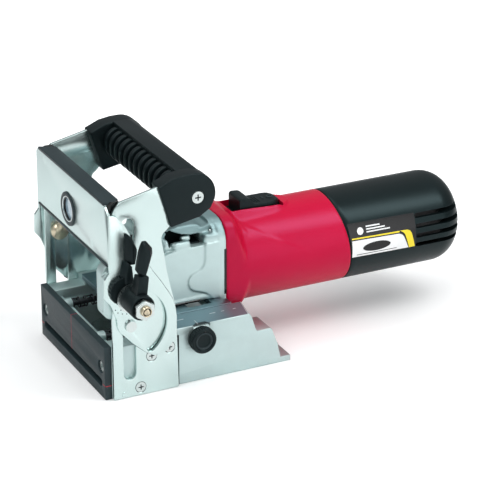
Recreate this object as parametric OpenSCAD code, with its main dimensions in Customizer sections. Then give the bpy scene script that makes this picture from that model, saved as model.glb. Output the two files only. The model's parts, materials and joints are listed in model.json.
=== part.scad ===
// Plate joiner: fixed guide base with a plunging motor unit, a tilting fence on a
// height carriage, and a small horizontal grooving blade. Millimetres, Z up,
// work face towards -Y, motor towards +Y, base underside on z = 0. The origin is on
// the underside, straight below the spindle when the motor unit is pulled back.
// The node modules are drawn from the work face (y = 0) and then placed.

/* [Base] */

// Width of the black work face plate
face_w = 118; // [100:1:140]

// Height of the work face plate
face_h = 40; // [30:1:50]

// Thickness of the work face plate
face_t = 5; // [3:0.5:8]

// Thickness of the steel side plates
plate_t = 2.6; // [2:0.1:4]

// Overall length of the base foot
base_len = 143.2; // [130:0.1:160]

// Height of the slot that lets the blade out
blade_slot_h = 5.8; // [5:0.1:8]

/* [Cutter] */

// Outside diameter of the grooving blade
blade_d = 100; // [98:0.5:102]

// Height of the blade above the base underside
blade_z = 10.6; // [9:0.1:13]

// Body thickness of the blade
blade_t = 2.6; // [2:0.1:3.4]

// Distance of the spindle behind the work face at rest
spindle_y = 57.5; // [55:0.5:60]

// Forward stroke of the motor unit
plunge = 20; // [12:0.5:20]

/* [Motor unit] */

// Outside diameter of the motor grip
motor_d = 68.6; // [60:0.1:72]

// Height of the motor axis above the base underside
motor_z = 64; // [62:0.5:68]

// Where the coloured housing meets the rear cover
seam_y = 203; // [195:0.5:212]

// Rear end of the motor cover
body_end = 304; // [290:0.5:315]

// Teeth on the small bevel pinion
pinion_teeth = 9; // [8:1:12]

// Teeth on the large bevel gear
gear_teeth = 27; // [24:1:36]

/* [Fence and handle] */

// Overall width of the fence sheet
fence_w = 129.4; // [126:0.2:136]

// Lower edge of the fence above the base underside
fence_z0 = 102.4; // [95:0.1:110]

// Upper edge of the fence sheet
fence_z1 = 144.4; // [135:0.1:150]

// Height of the fence pivot above the base underside
pivot_z = 55.5; // [50:0.5:60]

// Radius of the tilt slot in the fence ears
tilt_r = 24; // [22:0.5:26]

// Diameter of the depth knob
knob_d = 18.2; // [16:0.2:26]

// Number of grip grooves on the front of the handle
grip_grooves = 12; // [6:1:14]

/* [Hidden] */
$fn = 64;

silver = [0.80, 0.83, 0.83];
cast = [0.66, 0.70, 0.71];
black = [0.13, 0.15, 0.16];
red = [0.75, 0.07, 0.20];
steel = [0.55, 0.57, 0.58];
copper = [0.72, 0.42, 0.22];
yellow = [0.78, 0.68, 0.42];

wall_x = 59.3;
sp_in = 59.5;
sp_out = sp_in + plate_t;
ear_in = sp_out + 0.6;
ear_out = fence_w / 2;
slot_y0 = 12.7;
slot_y1 = 22.1;
key_y = (slot_y0 + slot_y1) / 2;
stud_y = 16;
sight_x = -6.2;
sight_z = 118.3;
stud_z = pivot_z + sqrt(tilt_r * tilt_r - (key_y - stud_y) * (key_y - stud_y));
stud_a = atan2(stud_z - pivot_z, stud_y - key_y);
knob_y = 72;
knob_z = 33;
mr = motor_d / 2;
g_s0 = 16;
g_s1 = 22.5;
eps = 0.01;

// ---- helpers -------------------------------------------------------------
module ex(x0, x1) translate([x0, 0, 0]) rotate([90, 0, 90]) linear_extrude(x1 - x0) children();
module ey(y0, y1) translate([0, y1, 0]) rotate([90, 0, 0]) linear_extrude(y1 - y0) children();
module ez(z0, z1) translate([0, 0, z0]) linear_extrude(z1 - z0) children();
module cx(r, x0, x1, y, z) translate([x0, y, z]) rotate([0, 90, 0]) cylinder(r = r, h = x1 - x0);
module cy(r, y0, y1, x, z) translate([x, y0, z]) rotate([-90, 0, 0]) cylinder(r = r, h = y1 - y0);
module cz(r, z0, z1, x, y) translate([x, y, z0]) cylinder(r = r, h = z1 - z0);
module bx(x0, x1, y0, y1, z0, z1) translate([x0, y0, z0]) cube([x1 - x0, y1 - y0, z1 - z0]);
module place() translate([0, -spindle_y, 0]) children();
module both() { children(); mirror([1, 0, 0]) children(); }
module rrect(w, h, r) {
    square([w - 2 * r, h], center = true);
    square([w, h - 2 * r], center = true);
    for (i = [-1, 1], j = [-1, 1]) translate([i * (w / 2 - r), j * (h / 2 - r)]) circle(r);
}
module slot2(y0, z0, y1, z1, r) {
    // straight slot between two centres that share one coordinate
    translate([y0, z0]) circle(r);
    translate([y1, z1]) circle(r);
    if (y0 == y1) translate([y0 - r, z0]) square([2 * r, z1 - z0]);
    else translate([y0, z0 - r]) square([y1 - y0, 2 * r]);
}
module sector(r, a0, a1) {
    n = 24;
    polygon(concat([[0, 0]], [for (i = [0:n]) let (a = a0 + (a1 - a0) * i / n)
        [r * cos(a), r * sin(a)]]));
}
module screw_x(x_tip, x_face, y, z, rs, rh) {
    // countersunk screw along X, head flush with x_face
    difference() {
        union() {
            cx(rs, x_tip, x_face - 1.4, y, z);
            translate([x_face - 1.5, y, z]) rotate([0, 90, 0])
                cylinder(r1 = rs, r2 = rh, h = 1.5);
        }
        translate([x_face, y, z]) cube([1.2, rh, 0.9], center = true);
        translate([x_face, y, z]) cube([1.2, 0.9, rh], center = true);
    }
}

// ---- base ----------------------------------------------------------------
foot_pts = [[107.4, 0], [base_len, 0], [base_len, 4.2], [107.4, 4.2]];
wall_pts = [[5.05, 0], [base_len - 8, 0], [base_len - 8, 4.2], [135.4, 4.4], [132.2, 17],
    [128.4, 27.4], [127, 28.6], [116.8, 28.6], [115.6, 30], [112.4, 40], [110.6, 43.2],
    [109.8, 50], [29.5, 50], [29.5, 38.6], [5.05, 38.6]];
roof_pts = [[80, 16.4], [80, 19.4], [109, 19.4], [124, 11], [140, 8.6], [140, 4], [136, 4],
    [124, 7.6], [109, 16.4]];

module base_wall() {
    intersection() {
        ey(5.05, base_len) polygon([[wall_x, 0], [wall_x, 43], [46, 47.4], [46, 44.7],
            [51.25, 44.7], [51.25, 42.4], [46, 42.4], [46, 24], [52, 19], [52, 0]]);
        ex(40, 62) polygon(wall_pts);
    }
    // thick shoulders behind the blade room
    intersection() {
        bx(37.6, wall_x, 109.2, base_len - 3, 0, 28.6);
        ex(37, 62) polygon(wall_pts);
    }
}
module base_housing() color(cast) place() difference() {
    union() {
        both() base_wall();
        // front beam above the blade
        bx(-46.5, 46.5, 5.05, 12, 20, 33.2);
        for (s = [-1, 1]) cy(4.4, 5.05, 12, s * 30, 34);
        // foot and chip roof behind the blade
        ex(-wall_x, wall_x) polygon(foot_pts);
        ex(-46.4, 46.4) polygon(roof_pts);
        // inner step of the guide walls
        both() bx(40, 46.5, 30, 107.5, 24, 26.5);
        both() bx(43.8, 46.5, 5.05, 62, 29.4, 31.2);
    }
    // room for the cover plate
    bx(-50.2, 50.2, 5, 138.1, -1, 2.4);
    // chips leave under the roof through the foot
    bx(-37, 37, 100, 124, 2.3, 7.5);
    ey(120, 150) translate([0, 5.5]) rrect(46, 4.4, 1);
    // depth knob shaft
    cx(3.05, 44, 61, knob_y, knob_z);
    // the bevel runs lower beside the knob
    ey(66.8, 79.4) polygon([[62, 37.5], [50.5, 49], [62, 52]]);
    // threaded holes for the face plate and the side plate screws
    for (s = [-1, 1]) cy(2.05, 0, 18, s * 51, 22.7);
    both() {
        cx(2.05, 54.4, 61, 25.3, 6.2);
        cx(2.05, 54.4, 61, 33.8, 28.5);
        cx(2.05, 54.4, 61, 47.4, 32.2);
    }
    for (s = [-1, 1]) cy(2.1, 4, 13, s * 30, 34);
    for (s = [-1, 1]) for (y = [132.5]) cz(1.8, -1, 10.5, s * 44, y);
}
module base_plate() color(steel) place() difference() {
    bx(-50, 50, 5.15, 138, 0, 2.3);
    for (s = [-1, 1]) cz(1.9, -1, 4, s * 44, 132.5);
    for (s = [-1, 1]) translate([s * 44, 132.5, -0.01]) cylinder(r1 = 3.6, r2 = 1.9, h = 1.7);
    // lip tabs stay clear of the blade path
    bx(-20, 20, 130, 139, -1, 4);
}
module base_screws() color(steel) place() {
    for (s = [-1, 1]) difference() {
        union() {
            cy(2, 3.3, 17.5, s * 51, 22.7);
            cy(3.9, 1.2, 3.33, s * 51, 22.7);
        }
        translate([s * 51, 1.2, 22.7]) rotate([-90, 0, 0]) cylinder(r = 2, h = 1.3, $fn = 6);
    }
    for (s = [-1, 1]) difference() {
        union() {
            cz(1.75, 0.1, 10, s * 44, 132.5);
            translate([s * 44, 132.5, 0.05]) cylinder(r1 = 3.45, r2 = 1.75, h = 1.6);
        }
        translate([s * 44, 132.5, 0]) cube([3.4, 0.8, 1.2], center = true);
    }
}
module front_face_plate() color(black) place() difference() {
    bx(-face_w / 2, face_w / 2, 0, face_t, 0.1, face_h);
    ey(-1, face_t + 1) translate([0, blade_z]) rrect(face_w * 0.9, blade_slot_h, 2);
    for (s = [-1, 1]) {
        cy(2.2, -1, face_t + 1, s * 51, 22.7);
        cy(4.7, -1, 3.35, s * 51, 22.7);
    }
}
plate_pts = [[5.2, 0.2], [54.2, 0.2], [53.4, 40], [53, 54], [51.9, 64.8], [48.6, 78.3],
    [46, 90.8], [44.4, 102.2], [42.6, 112], [42.4, 115.4], [43.6, 118.2], [46.2, 120.2],
    [48.8, 122.8], [70, 130], [76, 138], [73, 148], [64, 153.4], [50, 153.8], [39.4, 152.1],
    [12.4, 146.2], [8.4, 142.5], [5.2, 136]];
module plate2() difference() {
    polygon(plate_pts);
    slot2(key_y, 18.4, key_y, 129.1, (slot_y1 - slot_y0) / 2);
}
module side_plate() difference() {
    ex(sp_in, sp_out) plate2();
    for (p = [[25.3, 6.2], [33.8, 28.5], [47.4, 32.2]]) {
        cx(2.2, 55, 65, p[0], p[1]);
        translate([sp_out - 1.75, p[0], p[1]]) rotate([0, 90, 0])
            cylinder(r1 = 2.2, r2 = 4.5, h = 1.8);
    }
    cx(2.2, 55, 65, 68.5, 140.9);
}
module side_plate_right() color(silver) place() side_plate();
module side_plate_left() color(silver) place() mirror([1, 0, 0]) side_plate();
module side_plate_screws() color(steel) place() both()
    for (p = [[25.3, 6.2], [33.8, 28.5], [47.4, 32.2]])
        screw_x(55, sp_out - 0.1, p[0], p[1], 2, 4);

module cheek2() {
    polygon([[39.6, 152.7], [51, 157.3], [60, 158.5], [65.8, 158.5], [82, 142.3],
        [79.5, 133.4], [70, 126.6], [50, 122.1], [48.3, 122.5]]);
    translate([65.8, 142.3]) circle(16.2);
}
module bar2() translate([62.4, 145.8]) rrect(29, 25.4, 9);
module front_handle() color(black) place() difference() {
    union() {
        ex(-54, 54) bar2();
        both() ex(52, 64.8) cheek2();
    }
    // room for the side plate arms
    both() ex(sp_in - 0.1, sp_out + 0.1) polygon([[30, 110], [48.4, 122.2], [50, 123.1],
        [70.2, 129.9], [76.2, 138], [73.2, 148.2], [64.1, 153.6], [50, 154], [39, 152.3],
        [20, 150]]);
    // grip grooves on the front and underside of the bar
    for (i = [0:grip_grooves - 1]) {
        x = -46 + i * 92 / (grip_grooves - 1);
        difference() {
            bx(x - 1.9, x + 1.9, 40, 72, 125, 153.5);
            ex(x - 3, x + 3) translate([62.9, 145.8]) rrect(24, 20.4, 7);
        }
    }
    both() {
        cx(2.2, 53.5, 66, 68.5, 140.9);
        cx(5.6, 63.4, 66, 68.5, 140.9);
    }
}
module handle_screws() color(silver) place() both() difference() {
    union() {
        cx(2, 54, 63.6, 68.5, 140.9);
        cx(5, 63.4, 65, 68.5, 140.9);
    }
    translate([65, 68.5, 140.9]) cube([1.4, 5, 1], center = true);
    translate([65, 68.5, 140.9]) cube([1.4, 1, 5], center = true);
}
module spring_rods() color(steel) place()
    for (s = [-1, 1]) cy(2, 5.2, 69, s * 30, 34);
module coil(r, w, y0, y1, n) {
    // closed rings joined by a short bar along each turn
    p = (y1 - y0 - w) / n;
    for (i = [0:n]) translate([0, y0 + w / 2 + i * p, 0]) rotate([90, 0, 0])
        rotate_extrude() translate([r, 0]) circle(w / 2, $fn = 24);
    for (i = [0:n - 1]) translate([0, y0 + w / 2 + i * p, r * (i % 2 == 0 ? 1 : -1)])
        rotate([-90, 0, 0]) cylinder(r = w / 2, h = p, $fn = 24);
}
module return_springs() color(steel) place() for (s = [-1, 1]) translate([s * 30, 0, 34])
    coil(3.6, 1.1, 12.05, 59.95, 9);
module depth_knob() color(black) place() difference() {
    union() {
        cx(knob_d / 2, wall_x + 0.4, 67, knob_y, knob_z);
        cx(3, 38.4, wall_x + 1, knob_y, knob_z);
        for (i = [0:23]) translate([0, knob_y, knob_z]) rotate([i * 15, 0, 0])
            cx(0.7, wall_x + 1.5, 66.2, knob_d / 2, 0);
    }
    translate([76.4, knob_y, knob_z]) sphere(r = 12.2);
}
module depth_stop_turret() color(steel) place() difference() {
    translate([0, knob_y, knob_z]) union() {
        ex(38.6, 45.6) sector(6.1, 0, 90);
        ex(38.6, 45.6) sector(5.4, 90, 180);
        ex(38.6, 45.6) sector(4.8, 180, 270);
        ex(38.6, 45.6) sector(5.9, 270, 360);
    }
    cx(3.01, 38, 46, knob_y, knob_z);
}

// ---- motor unit ----------------------------------------------------------
module slide_plate() color(cast) place() difference() {
    union() {
        ez(44.05, 48) polygon([[-45.8, 27], [45.8, 27], [45.8, 103], [38, 103], [38, 98.5],
            [-45.8, 98.5]]);
        // tongues that run in the grooves of the base
        both() bx(42, 51.1, 50, 98.5, 42.5, 44.6);
        for (s = [-1, 1]) bx(s * 30 - 5, s * 30 + 5, 60, 65.5, 28.5, 44.1);
        bx(38.2, 45.6, 99.2, 103, 28.5, 44.1);
    }
    cz(12.5, 40, 50, 0, spindle_y);
    for (s = [-1, 1]) cy(2.1, 58, 68, s * 30, 34);
    for (a = [45:90:315]) cz(1.85, 40, 50, 17 * cos(a), spindle_y + 17 * sin(a));
    cy(1.9, 98, 105, 42, knob_z);
    // cable tie cut-outs that lighten the plate
    both() bx(26, 40, 72, 90, 43, 49);
}
module depth_stop_screw() color(steel) place() {
    cy(1.85, 98.6, 106, 42, knob_z);
    cy(3.2, 106, 108.6, 42, knob_z);
}
module bearing_neck() color(cast) place() difference() {
    union() {
        cz(16, 27, 44, 0, spindle_y);
        cz(21.5, 39.5, 44, 0, spindle_y);
    }
    cz(11, 30, 45, 0, spindle_y);
    cz(8.5, 26, 31, 0, spindle_y);
    for (a = [45:90:315]) cz(1.6, 38, 45, 17 * cos(a), spindle_y + 17 * sin(a));
}
module flange2() translate([0, 68.8]) rrect(69, 71.2, 15);
module gear_housing() color(cast) place() difference() {
    union() {
        cz(26, 48.05, 88, 0, spindle_y);
        bx(-33.9, 33.9, 46, 99.5, 48.05, 84);
        ex(-33.9, 33.9) polygon([[50, 83], [58, 88], [70, 90], [99.5, 90], [99.5, 83]]);
        // crown with side pockets
        ex(-27, 27) polygon([[52, 84], [55, 92], [64, 97.5], [84, 99.6], [99.5, 103],
            [99.5, 84]]);
        both() cy(4.6, 58, 88, 27.4, 92.6);
        ey(99, 104.4) flange2();
        cz(7.5, 76, 83.6, 0, 44.5);
    }
    both() bx(21, 36, 64, 90, 90.2, 97);
    // gear room, pinion tunnel, bearing seats
    cz(23.8, 48, 62, 0, spindle_y);
    cz(9, 61, 70, 0, spindle_y);
    cy(9.6, spindle_y, 93, 0, motor_z);
    cy(11, 92.4, 99.5, 0, motor_z);
    cy(8, 99, 105, 0, motor_z);
    cz(8, 70, 80.2, 0, spindle_y);
    // fan room at the rear flange
    difference() { cy(30.6, 101.2, 106, 0, motor_z); cy(12, 101, 106, 0, motor_z); }
    // lock button bore
    cz(2.1, 50, 95, 0, 44.5);
    cz(4.1, 74, 96, 0, 44.5);
    cz(7.3, 83.9, 96, 0, 44.5);
    for (i = [-1, 1], j = [-1, 1]) cy(1.9, 94, 105, i * 27.6, 68.8 + j * 28.4);
    for (a = [45:90:315]) cz(1.6, 48, 52, 17 * cos(a), spindle_y + 17 * sin(a));
}
module housing_screws() color(steel) place() {
    for (i = [-1, 1], j = [-1, 1]) {
        cy(1.85, 94.2, 110.2, i * 27.6, 68.8 + j * 28.4);
        cy(3, 109.6, 112.4, i * 27.6, 68.8 + j * 28.4);
    }
    for (a = [45:90:315]) cz(1.5, 40, 51.6, 17 * cos(a), spindle_y + 17 * sin(a));
}
module motor_housing() color(red) place() difference() {
    union() {
        cy(mr, 104.5, seam_y, 0, motor_z);
        ey(104.5, 122) flange2();
        ex(-19.5, 19.5) polygon([[104.6, 90], [104.6, 103.6], [126, 101.4], [172, 99.6],
            [179, 96], [179, 90]]);
    }
    cy(31.4, 103, seam_y + 1, 0, motor_z);
    // thumb switch well
    bx(-10.5, 10.5, 120.3, 162.4, 96.1, 110);
    // channel for the switch link, open to the inside at its end
    bx(-3.2, 3.2, 162, seam_y + 1, 96.1, 97.5);
    bx(-3.2, 3.2, 188, seam_y + 1, 88, 97);
    for (i = [-1, 1], j = [-1, 1]) {
        cy(1.9, 104, 123, i * 27.6, 68.8 + j * 28.4);
        cy(3.1, 109.5, 130, i * 27.6, 68.8 + j * 28.4);
    }
    // cooling outlets on the underside
    for (k = [0:3]) bx(-16, 16, 107 + k * 3.2, 108.8 + k * 3.2, 25, 40);
}
module rear_cover() color(black) place() difference() {
    union() {
        cy(mr, seam_y + 0.15, body_end - 20, 0, motor_z);
        translate([0, body_end - 20.05, motor_z]) rotate([-90, 0, 0]) rotate_extrude()
            polygon(concat([[0, 0]], [for (i = [0:10]) let (a = i * 9)
                [mr - 20 + 20 * cos(a), 0.05 + 20 * sin(a)]], [[0, 20.05]]));
    }
    cy(31.4, seam_y - 1, body_end - 24, 0, motor_z);
    cy(26.5, seam_y, body_end - 10, 0, motor_z);
    cy(6.1, body_end - 20, body_end + 5, 0, motor_z);
    // four air slots on each side
    both() for (k = [0:3]) bx(20, 40, 258, body_end - 7, 57.2 + k * 7.2, 60.6 + k * 7.2);
}
module baffle() color(black) place() difference() {
    cy(31.3, 124.2, 126.6, 0, motor_z);
    cy(22, 124, 127, 0, motor_z);
}
module stator() color(steel) place() difference() {
    cy(31.3, 134, 172, 0, motor_z);
    cy(19.4, 133, 173, 0, motor_z);
    for (s = [-1, 1]) bx(-40, 40, 133, 173, motor_z + s * 25 - 2, motor_z + s * 25 + 2);
}
module field_windings() color(copper) place() for (y = [127.6, 172.1]) difference() {
    cy(27.5, y, y + 6.2, 0, motor_z);
    cy(20.2, y - 1, y + 8, 0, motor_z);
}
module brush_holders() color(yellow) place() both() difference() {
    bx(14.5, 30.8, 186.5, 196.5, motor_z - 5, motor_z + 5);
    bx(14, 30, 188.3, 194.7, motor_z - 3.2, motor_z + 3.2);
}
module carbon_brushes() color(black) place() both()
    bx(11.6, 26, 188.35, 194.65, motor_z - 3.15, motor_z + 3.15);
module ring_y(ro, ri, y0, y1) difference() {
    cy(ro, y0, y1, 0, motor_z);
    cy(ri, y0 - 1, y1 + 1, 0, motor_z);
}
module ring_z(ro, ri, z0, z1) difference() {
    cz(ro, z0, z1, 0, spindle_y);
    cz(ri, z0 - 1, z1 + 1, 0, spindle_y);
}
module front_bearing() color(steel) place() ring_y(10.98, 5.03, 92.5, 99.2);
module rear_bearing() color(steel) place() difference() {
    ring_y(26.45, 4.03, 212, 219);
    for (a = [0:60:300]) translate([0, 0, motor_z]) rotate([0, a, 0]) cy(5, 211, 220, 18.5, 0);
}
module upper_bearing() color(steel) place() ring_z(7.98, 4.03, 73, 80.1);
module lower_bearing() color(steel) place() ring_z(10.98, 6.03, 30.1, 39.1);
module switch_block() color(black) place() {
    bx(-9, 9, 222, 250, 74, 88);
    bx(-3, 3, 228, 236, 87.5, 93.6);
    bx(-3, 3, 201, 236, 91.4, 93.6);
}
module cable_inlet() color(black) place() difference() {
    union() {
        cy(6, body_end - 16, body_end + 4, 0, motor_z);
        cy(8.6, body_end + 0.05, body_end + 5, 0, motor_z);
        cy(8.6, body_end - 16, body_end - 10.1, 0, motor_z);
    }
    cy(3.4, body_end - 20, body_end + 8, 0, motor_z);
}

// ---- armature ------------------------------------------------------------
module armature_shaft() color(steel) place() union() {
    cy(5, 86.2, 126, 0, motor_z);
    cy(6.5, 126, 190, 0, motor_z);
    cy(4, 190, 219.6, 0, motor_z);
    cy(3.2, 79, 86.3, 0, motor_z);
}
module armature_core() color(steel) place() difference() {
    cy(18.9, 135, 171, 0, motor_z);
    cy(6.52, 134, 172, 0, motor_z);
    for (a = [0:30:330]) translate([0, 0, motor_z]) rotate([0, a, 0])
        bx(-1, 1, 134, 172, 15, 20);
}
module armature_winding() color(copper) place() for (y = [128.6, 171.05]) ring_y(16.4, 6.52, y, y + 6.3);
module commutator() color(copper) place() difference() {
    ring_y(11.5, 6.52, 182.5, 189.9);
    for (a = [0:20:340]) translate([0, 0, motor_z]) rotate([0, a, 0])
        bx(-0.3, 0.3, 182, 191, 11, 12);
}
module cooling_fan() color(black) place() union() {
    ring_y(29, 5.02, 117.4, 119.2);
    ring_y(9, 5.02, 107, 118);
    for (a = [0:30:330]) translate([0, 0, motor_z]) rotate([0, a, 0])
        bx(-0.8, 0.8, 108, 117.5, 8.5, 28.4);
}
// Bevel teeth: every edge runs to the common apex (0, spindle_y, motor_z).
module bevel_tooth(w0, w1, z0, z1) {
    // z0 root, z1 tip, w0 root width, w1 tip width, all at distance 19.5 from the apex
    k = [g_s0 / 19.5, g_s1 / 19.5];
    pts = [for (i = [0, 1]) for (q = [[-w0 / 2, z0], [w0 / 2, z0], [w1 / 2, z1], [-w1 / 2, z1]])
        [q[0] * k[i], 19.5 * k[i], q[1] * k[i]]];
    polyhedron(pts, [[3, 2, 1, 0], [4, 5, 6, 7], [1, 5, 4, 0], [2, 6, 5, 1], [3, 7, 6, 2],
        [0, 4, 7, 3]]);
}
module pinion() color(steel) place() translate([0, spindle_y, motor_z]) difference() {
    union() {
        rotate([-90, 0, 0]) translate([0, 0, g_s0 - 0.4])
            cylinder(r1 = 5.25 * g_s0 / 19.5, r2 = 5.4 * g_s1 / 19.5, h = g_s1 - g_s0 + 0.9);
        for (i = [0:pinion_teeth - 1]) rotate([0, 180 + (i + 0.5) * 360 / pinion_teeth, 0])
            bevel_tooth(2.1, 0.9, 4.9, 7.2);
        rotate([-90, 0, 0]) translate([0, 0, g_s1 + 0.4]) cylinder(r = 7.6, h = 5.65);
    }
    rotate([-90, 0, 0]) translate([0, 0, 21.4]) cylinder(r = 3.22, h = 10);
}
module spindle() color(steel) place() union() {
    cz(4, 69, 80, 0, spindle_y);
    cz(6, 14, 60, 0, spindle_y);
    cz(5, 59, 70, 0, spindle_y);
    cz(4, 4.4, 15, 0, spindle_y);
}
module bevel_gear() color(steel) place() translate([0, spindle_y, motor_z]) difference() {
    union() {
        rotate_extrude() polygon([[6.04, -15], [11, -15], [11, -13], [22.5, -11],
            [22.5, -7.75 * 22.5 / 19.5], [16, -7.75 * 16 / 19.5], [13, -7.2], [6.04, -7.2]]);
        for (i = [0:gear_teeth - 1]) rotate([0, 0, i * 360 / gear_teeth])
            bevel_tooth(2.3, 0.95, -7.9, -5.8);
    }
}
module inner_flange() color(steel) place() ring_z(14, 6.03, blade_z + blade_t / 2 + 0.02, 18.6);
module blade() color(silver) place() translate([0, spindle_y, blade_z - blade_t / 2]) difference() {
    union() {
        cylinder(r = blade_d / 2 - 4, h = blade_t);
        for (i = [0:5]) rotate([0, 0, i * 60]) {
            linear_extrude(blade_t) polygon([[38, -9], [45.2, -9], [48.6, 3.4], [38, 3.4]]);
            translate([0, 0, -0.65]) linear_extrude(blade_t + 1.3)
                polygon([[41.5, 3.5], [49.6, 3.3], [49.86, 3.5], [49.75, 5.2], [41.5, 5.8]]);
        }
    }
    translate([0, 0, -1]) cylinder(r = 4.03, h = blade_t + 2);
    for (i = [0:5]) rotate([0, 0, i * 60 + 9.5]) translate([46, 0, -1])
        cylinder(r = 3.2, h = blade_t + 2);
    for (i = [0:2]) rotate([0, 0, i * 120 + 25]) translate([24, 0, -1])
        cylinder(r = 4.5, h = blade_t + 2);
}
module blade_nut() color(steel) place() difference() {
    union() {
        cz(12, 5.6, blade_z - blade_t / 2 - 0.02, 0, spindle_y);
        cz(9, 4.5, 6, 0, spindle_y);
    }
    cz(4.03, 4, 12, 0, spindle_y);
    for (a = [0:90:270]) translate([0, spindle_y, 0]) rotate([0, 0, a]) cz(1.5, 4, 7, 8, 0);
}

// ---- controls ------------------------------------------------------------
module switch_slider() color(black) place() difference() {
    union() {
        ex(-9.2, 9.2) polygon([[127.3, 96.4], [127.3, 106.6], [128.8, 108.1], [134.6, 107.6],
            [136.6, 106.3], [138.8, 103.2], [141, 102.4], [158, 102.3], [160.8, 101.5],
            [161.6, 100], [161.6, 96.4]]);
        // link to the switch at the rear
        bx(-2.5, 2.5, 160, 200.5, 96.4, 97.2);
        bx(-2.5, 2.5, 198, 200.5, 91.4, 97.2);
    }
    // shallow marks
    bx(-0.6, 0.6, 146.5, 150.5, 101.6, 104);
    translate([0, 156, 101.5]) difference() {
        cylinder(r = 2.3, h = 3);
        translate([0, 0, -1]) cylinder(r = 1.5, h = 5);
    }
}
module spindle_lock_button() color(black) place() union() {
    cz(2, 63.5, 84, 0, 44.5);
    cz(4, 83.5, 88.6, 0, 44.5);
    cz(6.6, 87.2, 90.6, 0, 44.5);
}
module lock_spring() color(steel) place() for (k = [0:3]) translate([0, 44.5, 74.6 + k * 2.7])
    rotate_extrude() translate([3.05, 0]) circle(0.45, $fn = 24);

// ---- fence carriage ------------------------------------------------------
module block2() {
    translate([13.5, 81.1]) rrect(28.6, 41, 8);
    polygon([[6.2, 90], [27.8, 90], [27.8, 108], [6.2, 108]]);
}
module carriage_block() color(cast) place() difference() {
    union() {
        ex(50, sp_in - 0.1) block2();
        // wrap around the front edge of the side plate
        translate([sp_in - 1, 0, 0]) ex(0, 3.6) polygon([[-0.8, 68], [2, 65], [5.1, 65],
            [5.1, 97], [2, 97], [-0.8, 94]]);
    }
    cx(3.1, 45, 65, stud_y, stud_z);
    cx(3.1, 45, 65, 22.5, 102);
}
module carriage_bridge() color(cast) place() difference() {
    union() {
        bx(-56, 49.9, 6.6, 10.8, 99, 108);
        bx(-59.3, -55.5, 6.6, 21.8, 97, 108);
    }
    cx(2.1, -62, -52, 17.4, 102);
}
module key2(z0, z1) slot2(key_y, z0, key_y, z1, 4.6);
module slide_keys() color(steel) place() {
    difference() {
        ex(sp_in - 0.05, sp_out + 0.4) key2(53, 99);
        cx(3.1, 50, 70, stud_y, stud_z);
        cx(2.45, 50, 70, key_y, pivot_z);
    }
    difference() {
        mirror([1, 0, 0]) ex(sp_in - 0.15, sp_out + 0.4) key2(53, 103);
        mirror([1, 0, 0]) cx(3.1, 50, 70, stud_y, stud_z);
        mirror([1, 0, 0]) cx(2.45, 50, 70, key_y, pivot_z);
        cx(1.6, -66, -50, 17.4, 102);
    }
    // screw that ties the long key to the bridge foot
    cx(1.6, -61, -55, 17.4, 102);
}
module pivot_pins() color(steel) place() both() union() {
    cx(2.4, sp_in + 0.1, ear_out + 0.3, key_y, pivot_z);
    cx(4, ear_out + 0.15, ear_out + 1.5, key_y, pivot_z);
}
module clamp_studs() color(yellow) place() {
    // right-hand stud carries both levers
    cx(3.05, 48, ear_out + 0.3, stud_y, stud_z);
    cx(3.45, ear_out + 0.2, 96.4, stud_y, stud_z);
    cx(6.4, 46.4, 49.9, stud_y, stud_z);
    // left-hand guide stud
    mirror([1, 0, 0]) {
        cx(6.5, 56.6, sp_in - 0.2, stud_y, stud_z);
        cx(3.05, 57, ear_out + 6, stud_y, stud_z);
    }
}
module lever_washer() color(silver) place() difference() {
    cx(10.6, 70.3, 71.3, stud_y, stud_z);
    cx(3.5, 70, 72, stud_y, stud_z);
}
module stud_nuts() color(silver) place() {
    difference() {
        translate([89.6, stud_y, stud_z]) rotate([0, 90, 0])
            cylinder(r = 7.3, h = 4.6, $fn = 6);
        cx(3.5, 89, 95, stud_y, stud_z);
    }
    difference() {
        union() {
            translate([-ear_out - 5.2, stud_y, stud_z]) rotate([0, 90, 0])
                cylinder(r = 6.4, h = 4, $fn = 6);
            cx(8.6, -ear_out - 1.4, -ear_out - 0.2, stud_y, stud_z);
        }
        cx(3.1, -ear_out - 6, -ear_out, stud_y, stud_z);
    }
}

// ---- fence ---------------------------------------------------------------
ear_pts = [[2.5, 104], [2.5, 139.4], [6, 138.8], [8.8, 137.4], [12.3, 133.5], [15.8, 127.8],
    [19.6, 119.6], [23.5, 111], [30, 101], [35, 92.6], [40.8, 84], [45.9, 75.5], [49.2, 69.4],
    [51, 63.4], [51.9, 56.2], [51.8, 49.6], [50.6, 42.6], [48.4, 36.8], [44.8, 32],
    [39.6, 29.6], [34, 30], [28.8, 33.2], [20, 40.9], [13.4, 48.0], [9.4, 52.4], [7.8, 56.6],
    [7.4, 62.4], [3, 73.8], [-1.3, 79.2], [-0.9, 93.1], [2.5, 97.6]];
module ear() difference() {
    ex(ear_in, ear_out) polygon(ear_pts);
    cx(2.5, 60, 70, key_y, pivot_z);
    // tilt slot swept about the pivot
    translate([0, key_y, pivot_z]) ex(60, 70) {
        difference() {
            intersection() { circle(tilt_r + 3.3); sector(60, -52, stud_a); }
            circle(tilt_r - 3.3);
        }
        for (a = [-52, stud_a]) translate([tilt_r * cos(a), tilt_r * sin(a)]) circle(3.3);
    }
}
module fence_plate() color(silver) place() difference() {
    union() {
        ey(2.5, 4.4) polygon([[-ear_out, fence_z0], [ear_out, fence_z0], [ear_out, 139],
            [ear_out - 8.4, fence_z1], [-ear_out + 3, fence_z1], [-ear_out, 141]]);
        both() ear();
        bx(-57.5, 57.5, 2.5, 12.4, fence_z1 - 2, fence_z1);
    }
    cy(10.4, 0, 10, sight_x, sight_z);
}
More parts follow.
